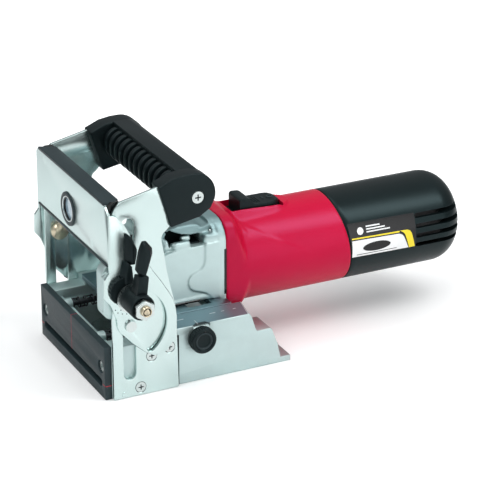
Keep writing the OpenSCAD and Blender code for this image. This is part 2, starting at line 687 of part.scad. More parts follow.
module fence_top_strip() color(black) place() difference() {
    union() {
        bx(-58.8, 58.8, 1.6, 13.6, fence_z1 + 0.02, 146.8);
        for (s = [-1, 1]) ex(s * 58.2 - 0.6, s * 58.2 + 0.6)
            polygon([[2.6, 146], [13.6, 146], [13.4, 144], [6.6, 137], [2.6, 137]]);
    }
    bx(-70, 70, 2.48, 4.42, 130, fence_z1 + 0.01);
}
module fence_bottom_strip() color(black) place() difference() {
    bx(-62, 62, 1.9, 5, fence_z0 - 1, fence_z0 + 0.8);
    bx(-63, 63, 2.48, 4.42, fence_z0 - 0.01, fence_z0 + 2);
}
module sight_window() color(steel) place() difference() {
    union() {
        cy(12.2, 2.0, 2.49, sight_x, sight_z);
        cy(10.35, 2.2, 4.6, sight_x, sight_z);
    }
    cy(8.4, 1, 3.2, sight_x, sight_z);
}

// ---- clamp levers --------------------------------------------------------
module height_lock_lever() color(black) place() difference() {
    union() {
        cx(9.3, ear_out + 0.2, 70.25, stud_y, stud_z);
        cx(9.8, ear_out + 0.2, 68.8, 11.4, 84.4);
        for (a = [60:15:270]) cx(0.8, ear_out + 0.5, 68.4, 11.4 + 9.7 * cos(a),
            84.4 + 9.7 * sin(a));
        ex(66.4, 70.2) polygon([[9.6, 86], [18.2, 86], [17.4, 101.4], [22.8, 103.4],
            [22.4, 112], [19, 120.4], [16.2, 125.4], [14.4, 125.8], [13.4, 106.2], [11, 105]]);
    }
    cx(3.52, 60, 75, stud_y, stud_z);
}
module tilt_lock_lever() color(black) place() difference() {
    union() {
        cx(8.9, 71.35, 89.5, stud_y, stud_z);
        ex(76, 86) polygon([[10.6, 82], [20.6, 82], [22.6, 92], [20.4, 92.6], [12.6, 92.6]]);
        ex(79.4, 86) polygon([[12.4, 90], [22.4, 90], [24, 99.6], [20, 101.4], [14.4, 102.6]]);
        ex(81, 85) polygon([[14.4, 99], [23.4, 99], [27.4, 113.6], [27.2, 118], [22.6, 124.6],
            [18.8, 125.2], [16.2, 112]]);
    }
    cx(3.52, 60, 95, stud_y, stud_z);
}

base_housing();
base_plate();
base_screws();
front_face_plate();
side_plate_left();
side_plate_right();
side_plate_screws();
front_handle();
handle_screws();
spring_rods();
return_springs();
depth_knob();
depth_stop_turret();
slide_plate();
depth_stop_screw();
bearing_neck();
gear_housing();
housing_screws();
motor_housing();
rear_cover();
baffle();
stator();
field_windings();
brush_holders();
carbon_brushes();
front_bearing();
rear_bearing();
upper_bearing();
lower_bearing();
switch_block();
cable_inlet();
armature_shaft();
armature_core();
armature_winding();
commutator();
cooling_fan();
pinion();
spindle();
bevel_gear();
inner_flange();
blade();
blade_nut();
switch_slider();
spindle_lock_button();
lock_spring();
carriage_block();
carriage_bridge();
slide_keys();
pivot_pins();
clamp_studs();
lever_washer();
stud_nuts();
fence_plate();
fence_top_strip();
fence_bottom_strip();
sight_window();
height_lock_lever();
tilt_lock_lever();
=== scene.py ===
"""Looks of a plate joiner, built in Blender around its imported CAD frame."""
import math

import bmesh
import bpy
from mathutils import Matrix, Vector
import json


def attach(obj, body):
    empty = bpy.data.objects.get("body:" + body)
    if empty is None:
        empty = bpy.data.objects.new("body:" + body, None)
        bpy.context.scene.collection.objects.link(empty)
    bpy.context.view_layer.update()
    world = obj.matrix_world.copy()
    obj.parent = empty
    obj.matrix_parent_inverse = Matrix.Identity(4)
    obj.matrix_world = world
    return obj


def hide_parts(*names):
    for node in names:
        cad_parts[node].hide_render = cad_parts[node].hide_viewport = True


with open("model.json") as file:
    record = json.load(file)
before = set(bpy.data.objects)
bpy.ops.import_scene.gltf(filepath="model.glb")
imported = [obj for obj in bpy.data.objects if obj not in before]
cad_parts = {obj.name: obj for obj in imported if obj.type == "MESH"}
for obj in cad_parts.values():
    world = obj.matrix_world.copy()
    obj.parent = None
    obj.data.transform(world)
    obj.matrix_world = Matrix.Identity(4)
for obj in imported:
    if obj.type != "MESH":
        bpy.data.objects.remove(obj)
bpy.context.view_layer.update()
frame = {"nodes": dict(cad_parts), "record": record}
NODES = frame["nodes"]
scene = bpy.context.scene
MM = 0.001
FACE_Y = -57.5  # the work face's y in the frame, in mm
WELD = 2e-6  # vertices closer than this are one vertex
SIDES = ((1, "near"), (-1, "far"))  # near is the side with the levers and the knob

WORLD_LEVEL = 0.8
LIGHT_LEVEL = 0.6


def new_material(name):
    mat = bpy.data.materials.new(name)
    mat.use_nodes = True
    return mat, mat.node_tree, mat.node_tree.nodes["Principled BSDF"]


def node(nt, kind, **values):
    n = nt.nodes.new(kind)
    for k, v in values.items():
        if hasattr(n, k):
            setattr(n, k, v)
        else:
            n.inputs[k].default_value = v
    return n


def ramp(nt, source, stops):
    r = nt.nodes.new("ShaderNodeValToRGB")
    els = r.color_ramp.elements
    while len(els) < len(stops):
        els.new(0.5)
    for e, (pos, col) in zip(els, stops):
        e.position = pos
        e.color = (*col, 1)
    nt.links.new(source, r.inputs["Fac"])
    return r


def map_range(nt, source, lo, hi, to_lo=0.0, to_hi=1.0):
    """The source's value carried from lo..hi to to_lo..to_hi, held at both ends."""
    n = node(nt, "ShaderNodeMapRange")
    for key, value in (("From Min", lo), ("From Max", hi), ("To Min", to_lo), ("To Max", to_hi)):
        n.inputs[key].default_value = value
    nt.links.new(source, n.inputs["Value"])
    return n.outputs["Result"]


# -------------------- camera, light
def make_camera():
    cam_data = bpy.data.cameras.new("camera")
    cam = bpy.data.objects.new("camera", cam_data)
    scene.collection.objects.link(cam)
    azimuth, elevation, roll = math.radians(63.38), math.radians(23.66), math.radians(0.2)
    back = Vector((math.sin(azimuth) * math.cos(elevation),
                   -math.cos(azimuth) * math.cos(elevation), math.sin(elevation)))
    cam.rotation_mode = "QUATERNION"
    turn = (-back).to_track_quat("-Z", "Y").to_matrix() @ Matrix.Rotation(roll, 3, "Z")
    cam.rotation_quaternion = turn.to_quaternion()
    cam.location = (1.31247, -0.57502, 0.70622)
    cam_data.sensor_width = 36
    cam_data.lens = 159.1
    cam_data.clip_start, cam_data.clip_end = 0.05, 20
    scene.camera = cam


def area_light(name, where, aim, size, power):
    data = bpy.data.lights.new(name, "AREA")
    data.shape = "RECTANGLE"
    data.size, data.size_y = size
    data.energy = power * LIGHT_LEVEL
    lamp = bpy.data.objects.new(name, data)
    scene.collection.objects.link(lamp)
    lamp.location = where
    lamp.rotation_mode = "QUATERNION"
    lamp.rotation_quaternion = (Vector(aim) - Vector(where)).to_track_quat("-Z", "Y")


def make_world():
    """Plain white behind the tool; as light, darker near the horizon and brighter overhead."""
    world = bpy.data.worlds.new("studio")
    scene.world = world
    world.use_nodes = True
    nt = world.node_tree
    link = nt.links.new
    nt.nodes.clear()
    out = node(nt, "ShaderNodeOutputWorld")
    seen = node(nt, "ShaderNodeBackground")
    lit = node(nt, "ShaderNodeBackground")
    seen.inputs["Color"].default_value = (1, 1, 1, 1)
    where = node(nt, "ShaderNodeTexCoord")
    split = node(nt, "ShaderNodeSeparateXYZ")
    link(where.outputs["Generated"], split.inputs[0])
    height = ramp(nt, split.outputs["Z"], [(0.0, (0.30, 0.32, 0.33)), (0.35, (0.42, 0.44, 0.45)),
                                           (0.8, (0.75, 0.77, 0.78))])
    link(height.outputs["Color"], lit.inputs["Color"])
    lit.inputs["Strength"].default_value = WORLD_LEVEL
    path = node(nt, "ShaderNodeLightPath")
    mix = node(nt, "ShaderNodeMixShader")
    link(path.outputs["Is Camera Ray"], mix.inputs["Fac"])
    link(lit.outputs[0], mix.inputs[1])
    link(seen.outputs[0], mix.inputs[2])
    link(mix.outputs[0], out.inputs[0])


def make_floor():
    """A pale floor that looks plain white away from the tool."""
    half = 6
    mesh = bpy.data.meshes.new("floor")
    mesh.from_pydata([(-half, -half, 0), (half, -half, 0), (half, half, 0), (-half, half, 0)],
                     [], [(0, 1, 2, 3)])
    floor = bpy.data.objects.new("floor", mesh)
    floor.location.z = -0.0002
    scene.collection.objects.link(floor)
    mat, nt, b = new_material("floor")
    link = nt.links.new
    b.inputs["Base Color"].default_value = (0.93, 0.93, 0.93, 1)
    b.inputs["Roughness"].default_value = 0.9
    b.inputs["Emission Color"].default_value = (1, 1, 1, 1)
    where = node(nt, "ShaderNodeTexCoord")
    reach = node(nt, "ShaderNodeVectorMath", operation="LENGTH")
    link(where.outputs["Object"], reach.inputs[0])
    fade = map_range(nt, reach.outputs["Value"], 0.2, 0.62, 0.12, 0.9)
    path = node(nt, "ShaderNodeLightPath")
    glow = node(nt, "ShaderNodeMath", operation="MULTIPLY")
    link(fade, glow.inputs[0])
    link(path.outputs["Is Camera Ray"], glow.inputs[1])
    link(glow.outputs[0], b.inputs["Emission Strength"])
    mesh.materials.append(mat)


def make_stage():
    make_world()
    make_floor()
    area_light("key", (0.5, -0.9, 1.3), (0, 0.05, 0.06), (0.9, 0.7), 16)
    area_light("top", (-0.25, -0.1, 1.5), (0, 0.05, 0.06), (1.1, 0.9), 8)
    area_light("band", (0.56, 0.70, 1.22), (0, 0.08, 0.08), (0.42, 0.9), 12)
    area_light("side", (1.5, 0.7, 0.5), (0, 0.1, 0.06), (0.7, 1.1), 7.5)
    scene.view_settings.view_transform = "Standard"


# -------------------- materials
def grey(v):
    return (v, v, v)


def finish_material(name, base, rough, metallic, grain, mottle,
                    wear=None, spec=0.5, coat=0.0, coat_rough=0.2, stretch=None, tint=None):
    """Principled surface: mottled colour, varied roughness, fine bump and edge wear."""
    mat, nt, b = new_material(name)
    link = nt.links.new
    tex = node(nt, "ShaderNodeTexCoord")
    src = tex.outputs["Object"]
    brushed = src
    if stretch:
        mp = node(nt, "ShaderNodeMapping", Scale=stretch)
        link(src, mp.inputs["Vector"])
        brushed = mp.outputs["Vector"]
    m = node(nt, "ShaderNodeTexNoise", Scale=mottle[0], Detail=5.0, Roughness=0.6)
    link(src, m.inputs["Vector"])
    lo = tuple(c * (1 - mottle[1]) for c in base)
    hi = tuple(min(1, c * (1 + mottle[1])) for c in base)
    col = ramp(nt, m.outputs["Fac"], [(0.3, lo), (0.7, hi)])
    colour = col.outputs["Color"]
    fine = node(nt, "ShaderNodeTexNoise", Scale=grain[0], Detail=3.0, Roughness=0.55)
    link(brushed, fine.inputs["Vector"])
    rr = ramp(nt, fine.outputs["Fac"], [(0.25, grey(max(0.02, rough - grain[1]))),
                                        (0.75, grey(min(1, rough + grain[1])))])
    link(rr.outputs["Color"], b.inputs["Roughness"])
    bump = node(nt, "ShaderNodeBump", Strength=0.35, Distance=grain[2])
    link(fine.outputs["Fac"], bump.inputs["Height"])
    link(bump.outputs["Normal"], b.inputs["Normal"])
    if wear:
        bev = node(nt, "ShaderNodeBevel", Radius=wear[1])
        bev.samples = 4
        geo = node(nt, "ShaderNodeNewGeometry")
        dot = node(nt, "ShaderNodeVectorMath", operation="DOT_PRODUCT")
        link(bev.outputs["Normal"], dot.inputs[0])
        link(geo.outputs["Normal"], dot.inputs[1])
        edge = ramp(nt, dot.outputs["Value"], [(0.80, grey(1)), (0.97, grey(0))])
        blot = ramp(nt, m.outputs["Fac"], [(0.42, grey(0.15)), (0.62, grey(1))])
        mul = node(nt, "ShaderNodeMath", operation="MULTIPLY")
        link(edge.outputs["Color"], mul.inputs[0])
        link(blot.outputs["Color"], mul.inputs[1])
        mix = node(nt, "ShaderNodeMix", data_type="RGBA")
        link(mul.outputs[0], mix.inputs["Factor"])
        link(colour, mix.inputs[6])
        mix.inputs[7].default_value = (*wear[0], 1)
        colour = mix.outputs[2]
    link(colour, b.inputs["Base Color"])
    b.inputs["Metallic"].default_value = metallic
    b.inputs["Specular IOR Level"].default_value = spec
    if tint:
        b.inputs["Specular Tint"].default_value = (*tint, 1)
    b.inputs["Coat Weight"].default_value = coat
    b.inputs["Coat Roughness"].default_value = coat_rough
    return mat


# name, colour, roughness, metallic, grain (scale, spread of roughness, height in metres),
# mottle (scale, spread of colour), and what else a finish has
FINISHES = {
    "sheet": ("bright_plated_sheet", (0.62, 0.745, 0.73), 0.25, 1.0, (5200, 0.03, 4e-6),
              (9, 0.05), dict(wear=((0.74, 0.84, 0.83), 5e-4), stretch=(1, 1, 0.12))),
    "cast": ("die_cast_alloy", (0.53, 0.65, 0.645), 0.5, 1.0, (2600, 0.05, 3.5e-5),
             (38, 0.05), dict(wear=((0.7, 0.8, 0.79), 7e-4))),
    "black": ("moulded_black", (0.0045, 0.008, 0.009), 0.42, 0.0, (3200, 0.05, 3e-5),
              (60, 0.18), dict(wear=((0.03, 0.043, 0.045), 7e-4), spec=0.22,
                               tint=(0.75, 0.97, 1.0))),
    "face": ("grip_face", (0.016, 0.031, 0.036), 0.5, 0.0, (2600, 0.08, 4e-5),
             (120, 0.2), dict(wear=((0.09, 0.12, 0.13), 5e-4), spec=0.32)),
    "cover": ("cover_black", (0.0035, 0.0065, 0.007), 0.3, 0.0, (2600, 0.04, 1e-5),
              (60, 0.15), dict(wear=((0.03, 0.04, 0.042), 6e-4), spec=0.24,
                               tint=(0.65, 0.95, 1.0))),
    "gloss": ("gloss_black", (0.002, 0.003, 0.003), 0.14, 0.0, (900, 0.03, 4e-6),
              (60, 0.15), dict(spec=0.4)),
    "slate": ("slate_strip", (0.014, 0.026, 0.03), 0.42, 0.0, (2400, 0.05, 1e-5),
              (60, 0.1), dict(wear=((0.06, 0.09, 0.095), 5e-4), spec=0.28)),
    "paint": ("index_white", (0.8, 0.86, 0.86), 0.5, 0.0, (2400, 0.05, 1e-5), (200, 0.08), {}),
    "mark": ("marking_red", (0.45, 0.01, 0.03), 0.5, 0.0, (2400, 0.05, 1e-5), (200, 0.15), {}),
    "red": ("moulded_red", (0.52, 0.0008, 0.030), 0.3, 0.0, (2400, 0.04, 1.2e-5),
            (30, 0.04), dict(wear=((0.62, 0.02, 0.07), 6e-4), spec=0.3, tint=(0.6, 0.5, 1.0))),
    "steel": ("machined_steel", (0.62, 0.68, 0.67), 0.26, 1.0, (3000, 0.05, 6e-6),
              (80, 0.05), dict(wear=((0.8, 0.84, 0.84), 3e-4))),
    "zinc": ("yellow_zinc", (0.70, 0.61, 0.45), 0.34, 1.0, (2600, 0.06, 8e-6), (160, 0.18), {}),
    "copper": ("enamelled_copper", (0.6, 0.22, 0.08), 0.35, 1.0, (1400, 0.08, 6e-5),
               (300, 0.25), dict(stretch=(1, 6, 1))),
    "carbon": ("brush_carbon", (0.03, 0.03, 0.032), 0.6, 0.0, (1800, 0.1, 4e-5), (200, 0.2), {}),
    "lens": ("sight_lens", (0.30, 0.42, 0.50), 0.12, 0.0, (300, 0.02, 2e-6),
             (30, 0.1), dict(coat=1.0, coat_rough=0.03)),
}
MATS = {key: finish_material(*row[:-1], **row[-1]) for key, row in FINISHES.items()}


def paint_shade_above(mat, low, high, tint):
    """Painted shade: multiply a material's colour by a tint that comes in between two heights in
    metres.
    """
    nt = mat.node_tree
    socket = nt.nodes["Principled BSDF"].inputs["Base Color"]
    before = socket.links[0].from_socket
    where = node(nt, "ShaderNodeTexCoord")
    split = node(nt, "ShaderNodeSeparateXYZ")
    nt.links.new(where.outputs["Object"], split.inputs[0])
    mix = node(nt, "ShaderNodeMix", data_type="RGBA", blend_type="MULTIPLY")
    nt.links.new(map_range(nt, split.outputs["Z"], low, high), mix.inputs["Factor"])
    nt.links.new(before, mix.inputs[6])
    mix.inputs[7].default_value = (*tint, 1)
    nt.links.new(mix.outputs[2], socket)


# -------------------- mesh helpers
FOLD_R = 1.7  # outside radius of a fold in sheet metal, in mm
CORNER = 30  # edges that turn by more than this many degrees are rounded


def body_of_node(name):
    for body, members in frame["record"]["behaviour"]["bodies"].items():
        if name in members:
            return body
    raise KeyError(name)


def slot_of_node(name):
    for part in frame["record"]["subparts"]:
        if part["node"] == name:
            return part["material_slot"]
    raise KeyError(name)


def object_of(name, bm):
    """A new scene object from a bmesh, which is freed."""
    mesh = bpy.data.meshes.new(name)
    bm.to_mesh(mesh)
    bm.free()
    obj = bpy.data.objects.new(name, mesh)
    scene.collection.objects.link(obj)
    return obj


def smooth(obj, sharp=32):
    for poly in obj.data.polygons:
        poly.use_smooth = True
    obj.data.set_sharp_from_angle(angle=math.radians(sharp))


def rework(name, width, bend=None):
    """A softened twin of a CAD node: welded, its flats merged and its edges rounded."""
    bm = bmesh.new()
    bm.from_mesh(NODES[name].data)
    bmesh.ops.remove_doubles(bm, verts=bm.verts, dist=WELD)
    bmesh.ops.dissolve_limit(bm, angle_limit=math.radians(0.5), verts=bm.verts, edges=bm.edges,
                             delimit=set())

    def sharp_edges():
        return [e for e in bm.edges if len(e.link_faces) == 2
                and e.calc_face_angle(0) > math.radians(CORNER)]

    if bend:
        folds = [e for e in sharp_edges() if bend(e)]
        bmesh.ops.bevel(bm, geom=folds, offset=FOLD_R * MM, segments=5, profile=0.5,
                        affect="EDGES", clamp_overlap=True)
    bmesh.ops.bevel(bm, geom=sharp_edges(), offset=width * MM, segments=2, profile=0.5,
                    affect="EDGES", clamp_overlap=False)
    obj = object_of(name + "_shape", bm)
    smooth(obj)
    return obj


def adopt(obj, slot, body, *nodes, mat=None):
    obj.data.materials.clear()
    obj.data.materials.append(mat or MATS[slot])
    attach(obj, body)
    if nodes:
        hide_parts(*nodes)


def placed(name, bm, sharp):
    """A scene object from a bmesh in design millimetres, measured from the work face."""
    for v in bm.verts:
        v.co = Vector((v.co.x, v.co.y + FACE_Y, v.co.z)) * MM
    obj = object_of(name, bm)
    smooth(obj, sharp)
    return obj


def from_bm(name, bm, sharp=32):
    bmesh.ops.recalc_face_normals(bm, faces=bm.faces)
    return placed(name, bm, sharp)


def skin(bm, rings, closed=False):
    """Quads between each ring of vertices and the next, and from the last to the first."""
    for k in range(len(rings) if closed else len(rings) - 1):
        low, high = rings[k], rings[(k + 1) % len(rings)]
        for i in range(len(low)):
            j = (i + 1) % len(low)
            bm.faces.new((low[i], low[j], high[j], high[i]))


def span(side, a, b):
    """The distances a and b from the middle plane as low and high x on one side."""
    return sorted((side * a, side * b))


def axis_point(axis, u, v, t):
    """(u, v) in the plane across an axis and t along it: X takes (y, z), Y (x, z), Z (x, y)."""
    return {"X": (t, u, v), "Y": (u, t, v), "Z": (u, v, t)}[axis]


def prism(name, pts, axis, lo, hi, round_=0.0, steps=2, sharp=32, corner=20):
    """An n-sided prism in design millimetres with its rims and sharp corners rounded."""
    bm = bmesh.new()
    low = [bm.verts.new(axis_point(axis, u, v, lo)) for u, v in pts]
    high = [bm.verts.new(axis_point(axis, u, v, hi)) for u, v in pts]
    bm.faces.new(low)
    bm.faces.new(high)
    skin(bm, [low, high])
    bmesh.ops.recalc_face_normals(bm, faces=bm.faces)
    if round_:
        edges = [e for e in bm.edges if e.calc_face_angle(0) > math.radians(corner)]
        bmesh.ops.bevel(bm, geom=edges, offset=round_, segments=steps, profile=0.5,
                        affect="EDGES", clamp_overlap=True)
    return from_bm(name, bm, sharp)


def box_piece(name, lo, hi, round_=0.0, steps=2):
    pts = [(lo[0], lo[2]), (hi[0], lo[2]), (hi[0], hi[2]), (lo[0], hi[2])]
    return prism(name, pts, "Y", lo[1], hi[1], round_, steps)


def lathe(name, profile, axis, centre, count=64, sharp=32):
    """Turns (radius, along) points round an axis through centre, in design millimetres."""
    bm = bmesh.new()
    rings = []
    for r, t in profile:
        ring = []
        for i in range(count):
            a = 2 * math.pi * i / count
            ring.append(bm.verts.new(axis_point(axis, centre[0] + r * math.cos(a),
                                                centre[1] + r * math.sin(a), t)))
        rings.append(ring)
    skin(bm, rings)
    bmesh.ops.remove_doubles(bm, verts=bm.verts, dist=1e-4)
    holes = [e for e in bm.edges if e.is_boundary]
    if holes:
        bmesh.ops.holes_fill(bm, edges=holes)
    return from_bm(name, bm, sharp)


def rod(name, r, lo, hi, axis, centre, count):
    return lathe(name, [(0, lo), (r, lo), (r, hi), (0, hi)], axis, centre, count)


def rounded_rect(cx, cy, w, h, r, n=8):
    pts = []
    for k, (sx, sy) in enumerate(((1, 1), (-1, 1), (-1, -1), (1, -1))):
        pts += arc(cx + sx * (w / 2 - r), cy + sy * (h / 2 - r), r, 90 * k, 90 * k + 90, n)
    return pts


def arc(cx, cy, r, a0, a1, n=10):
    return [(cx + r * math.cos(math.radians(a0 + (a1 - a0) * i / n)),
             cy + r * math.sin(math.radians(a0 + (a1 - a0) * i / n))) for i in range(n + 1)]


def oval(u, v, ru, rv, n):
    turns = [2 * math.pi * i / n for i in range(n)]
    return [(u + ru * math.cos(t), v + rv * math.sin(t)) for t in turns]


def bake_modifiers(obj):
    dg = bpy.context.evaluated_depsgraph_get()
    mesh = bpy.data.meshes.new_from_object(obj.evaluated_get(dg), depsgraph=dg)
    old = obj.data
    obj.modifiers.clear()
    obj.data = mesh
    bpy.data.meshes.remove(old)


def combine(obj, others, how="DIFFERENCE", sharp=32):
    for other in others:
        m = obj.modifiers.new("cut", "BOOLEAN")
        m.operation, m.solver, m.object = how, "EXACT", other
    bake_modifiers(obj)
    for other in others:
        bpy.data.objects.remove(other)
    smooth(obj, sharp)
    return obj


def join(name, objs):
    """One mesh from several, overlaps and all."""
    bm = bmesh.new()
    for o in objs:
        bm.from_mesh(o.data)
        bpy.data.objects.remove(o)
    return object_of(name, bm)


def melt(obj, voxel, passes, sharp=60):
    """Fuses overlapping solids and softens every edge, as a casting or moulding has."""
    m = obj.modifiers.new("fuse", "REMESH")
    m.mode, m.voxel_size = "VOXEL", voxel * MM
    m = obj.modifiers.new("soften", "SMOOTH")
    m.factor, m.iterations = 0.5, passes
    bake_modifiers(obj)
    smooth(obj, sharp)
    return obj


def cad_copy(name, new_name):
    """A welded copy of a CAD node's mesh, to build on."""
    bm = bmesh.new()
    bm.from_mesh(NODES[name].data)
    bmesh.ops.remove_doubles(bm, verts=bm.verts, dist=WELD)
    return object_of(new_name, bm)


make_camera()
make_stage()

for name, obj in NODES.items():
    s = slot_of_node(name)
    if s in MATS:
        obj.data.materials.clear()
        obj.data.materials.append(MATS[s])

spring_steel = finish_material("phosphated_steel", (0.06, 0.065, 0.07), 0.4, 1.0,
                               (2600, 0.05, 1e-5), (160, 0.15))
for name in ("return_springs", "spring_rods"):
    NODES[name].data.materials.clear()
    NODES[name].data.materials.append(spring_steel)

# the CAD nodes shown in their own shape with rounded edges, and the rounding in mm
SOFT = {
    "base_housing": 0.4, "front_face_plate": 0.3, "side_plate_left": 0.35,
    "side_plate_right": 0.35, "carriage_block": 0.4, "carriage_bridge": 0.3, "stud_nuts": 0.3,
}
for name, width in SOFT.items():
    adopt(rework(name, width), slot_of_node(name), body_of_node(name), name)


def fence_fold(edge):
    """True for the upright outer edges where the fence sheet folds back into its ears."""
    a, b = (v.co for v in edge.verts)
    upright = abs(a.x - b.x) < 1e-5 and abs(a.y - b.y) < 1e-5
    return upright and abs(a.x) > 0.0645 and a.y < (FACE_Y + 2.6) * MM


adopt(rework("fence_plate", 0.25, bend=fence_fold), "sheet", "fence", "fence_plate")


# -------------------- motor housing
MOTOR_Z = 64.0
BARREL_R = 34.3
BORE_R = 31.4
AROUND = 192  # vertices round the housing and the cover
HOUSING_Y0 = 104.5
COVER_END = 304.0
COVER_ROUND = 20  # radius of the rear cover's rounded end


def seam_y(z):
    """The red housing ends on a slightly slanted curve, further forward at the top."""
    t = (z - MOTOR_Z) / BARREL_R
    return 205 - 4.25 * t - 2.25 * t * t


def ease(t):
    t = min(1.0, max(0.0, t))
    return t * t * (3 - 2 * t)


def soft_max(a, b, k):
    h = max(k - abs(a - b), 0.0) / k
    return max(a, b) + h * h * k / 4


def rect_radius(angle, half_w, z_lo, z_hi, corner):
    """Distance from the motor axis to a rounded rectangle along a ray."""
    cz = (z_lo + z_hi) / 2 - MOTOR_Z
    hw, hh = half_w - corner, (z_hi - z_lo) / 2 - corner
    c, s_ = math.cos(angle), math.sin(angle)
    lo, hi = 5.0, 80.0
    for _ in range(26):
        r = (lo + hi) / 2
        qx, qz = abs(r * c) - hw, abs(r * s_ - cz) - hh
        d = math.hypot(max(qx, 0), max(qz, 0)) + min(max(qx, qz), 0) - corner
        lo, hi = (r, hi) if d < 0 else (lo, r)
    return r


def crease_angle(y):
    """Where the raised side of the red housing ends, in degrees above the horizontal."""
    stops = ((122, 66), (128, 56), (135, 47), (145, 35), (161, 20), (175, 8), (192, -6))
    if y <= stops[0][0]:
        return stops[0][1]
    for (y0, a0), (y1, a1) in zip(stops, stops[1:]):
        if y <= y1:
            return a0 + (a1 - a0) * (y - y0) / (y1 - y0)
    return stops[-1][1]


def housing_radius(angle, y):
    s_, c_ = math.sin(angle), abs(math.cos(angle))
    theta = math.degrees(math.atan2(s_, c_))
    up = ease((s_ + 0.25) / 0.5)
    # above, the square collar turns round within a few millimetres; below, it ends in a foot
    slow = ease((y - 111.5) / 11.0)
    fast = ease((y - 117.5) / 8.0)
    f = up * slow + (1 - up) * fast
    top = 104.4 - 6.1 * ease((y - 111) / 13.0)
    bottom = 33.2 + (MOTOR_Z - BARREL_R - 33.2) * ease((y - 118.5) / 6.0)
    corner = 15 + (BARREL_R - 15) * f
    half_h = (top - bottom) / 2
    corner = min(corner, half_h, 34.42)
    r = rect_radius(angle, 34.45, bottom, top, corner)
    r = max(r, BARREL_R)
    # the sides stand a little proud below a slanted crease
    below = crease_angle(y) - theta
    if below > 0 and y > 108:
        rise = 0.5 * min(1.0, below / 2.6) * ease((theta + 48) / 50.0)
        rise *= ease((y - 112) / 12.0) * (1 - ease((y - 150) / 46.0))
        r = max(r, BARREL_R + rise)
    # the collar's own edge ends in a short step
    end = 121.8 + 3.4 * ease((66 - theta) / 24.0)
    if 38 < theta < 80:
        r += 0.45 * (1 - ease((y - end) / 1.4)) * ease((theta - 38) / 10) * ease((80 - theta) / 10)
    # switch platform
    if s_ > 0.5 and y < 176:
        crown = 104.2 - 3.4 * ease((y - 106) / 16.0) - 1.3 * ease((y - 124) / 34.0)
        reach = 11.2 * math.sqrt(max(0.0, 1 - (max(0.0, y - 152) / 17.5) ** 2))
        k = 1.35
        r_side = (crown - MOTOR_Z + k * reach) / (s_ + k * c_)
        r_top = (crown - MOTOR_Z) / s_
        if reach > 0.5:
            r = soft_max(r, min(r_top, r_side), 0.9)
    return r


def motor_ring(bm, y_of, radius):
    """Vertices round the motor axis: y_of(z) gives their y and radius(angle, y) their reach."""
    ring = []
    for i in range(AROUND):
        a = 2 * math.pi * i / AROUND
        y = y_of(MOTOR_Z + BARREL_R * math.sin(a))
        r = radius(a, y)
        ring.append(bm.verts.new((r * math.cos(a), y, MOTOR_Z + r * math.sin(a))))
    return ring


def tube_shell(name, outer, inner_r, rows):
    """A tube about the motor axis: outer(angle, y) is its outside, rows are (y(z), inset)."""
    bm = bmesh.new()
    rings = [motor_ring(bm, y_of, lambda a, y: outer(a, y) - inset) for y_of, inset in rows]
    rings += [motor_ring(bm, y_of, lambda a, y: inner_r) for y_of in (rows[-1][0], rows[0][0])]
    skin(bm, rings, closed=True)
    return from_bm(name, bm, 40)


def make_motor_housing():
    rows = [(lambda z: HOUSING_Y0, 0.7), (lambda z: HOUSING_Y0 + 0.2, 0.3),
            (lambda z: HOUSING_Y0 + 0.7, 0.0)]
    steps = 90
    for k in range(1, steps + 1):
        t = k / steps
        rows.append((lambda z, t=t: HOUSING_Y0 + 0.7 + (seam_y(z) - 0.9 - HOUSING_Y0 - 0.7) * t,
                     0.0))
    rows += [(lambda z: seam_y(z) - 0.55, 0.2), (lambda z: seam_y(z) - 0.35, 0.6)]
    shell = tube_shell("motor_housing_shell", housing_radius, BORE_R, rows)
    well = prism("well", rounded_rect(0, 141.35, 21, 42.1, 1.6), "Z", 96.1, 112)
    adopt(combine(shell, [well], sharp=40), "red", "motor_unit", "motor_housing")
    # painted shade: a black floor deep in the switch well
    adopt(box_piece("switch_well_shade", (-10.4, 120.5, 96.05), (10.4, 162.2, 96.25)), "black",
          "motor_unit")
    gasket = tube_shell("housing_gasket", lambda a, y: BARREL_R, 31.5,
                        [(lambda z: seam_y(z) - 0.6, 0.6), (lambda z: seam_y(z) + 0.6, 0.6)])
    adopt(gasket, "black", "motor_unit")


def make_rear_cover():
    straight = COVER_END - COVER_ROUND
    rows = [(lambda z: seam_y(z) + 0.35, BARREL_R - 0.6),
            (lambda z: seam_y(z) + 0.5, BARREL_R - 0.2),
            (lambda z: seam_y(z) + 0.9, BARREL_R)]
    steps = 24
    for k in range(1, steps + 1):
        rows.append((lambda z, k=k: seam_y(z) + 0.9 + (straight - seam_y(z) - 0.9) * k / steps,
                     BARREL_R))
    for k in range(1, steps + 1):
        a = math.radians(90 * (k / steps))
        rows.append((lambda z, y=straight + COVER_ROUND * math.sin(a): y,
                     BARREL_R - COVER_ROUND + COVER_ROUND * math.cos(a)))
    # the end's hole for the cable inlet, then forward along the inside
    rows += [(lambda z: COVER_END, 6.2), (lambda z: COVER_END - 12, 6.2),
             (lambda z: COVER_END - 12, 24), (lambda z: COVER_END - 24, BORE_R),
             (lambda z: seam_y(z) + 0.35, BORE_R)]
    bm = bmesh.new()
    skin(bm, [motor_ring(bm, y_of, lambda a, y: r) for y_of, r in rows], closed=True)
    shell = from_bm("rear_cover_shell", bm, 40)
    cuts = []
    for side in (-1, 1):
        for k in range(4):
            slot = rounded_rect(289.6, 57.4 + 7.3 * k, 60, 3.6, 1.7, 6)
            cuts.append(prism("slot_cut", slot, "X", *span(side, 22, 40)))
    adopt(combine(shell, cuts, sharp=40), "black", "motor_unit", "rear_cover",
          mat=MATS["cover"])
    # painted shade: a dark sheet behind the slots, standing in for the shade inside the cover
    screen = [(22.4, 254), (23, 254), (23, 291.5), (22.4, 291.5), (22.4, 254)]
    adopt(lathe("slot_shade_sheet", screen, "Y", (0, MOTOR_Z), 64), "black", "motor_unit",
          mat=MATS["carbon"])


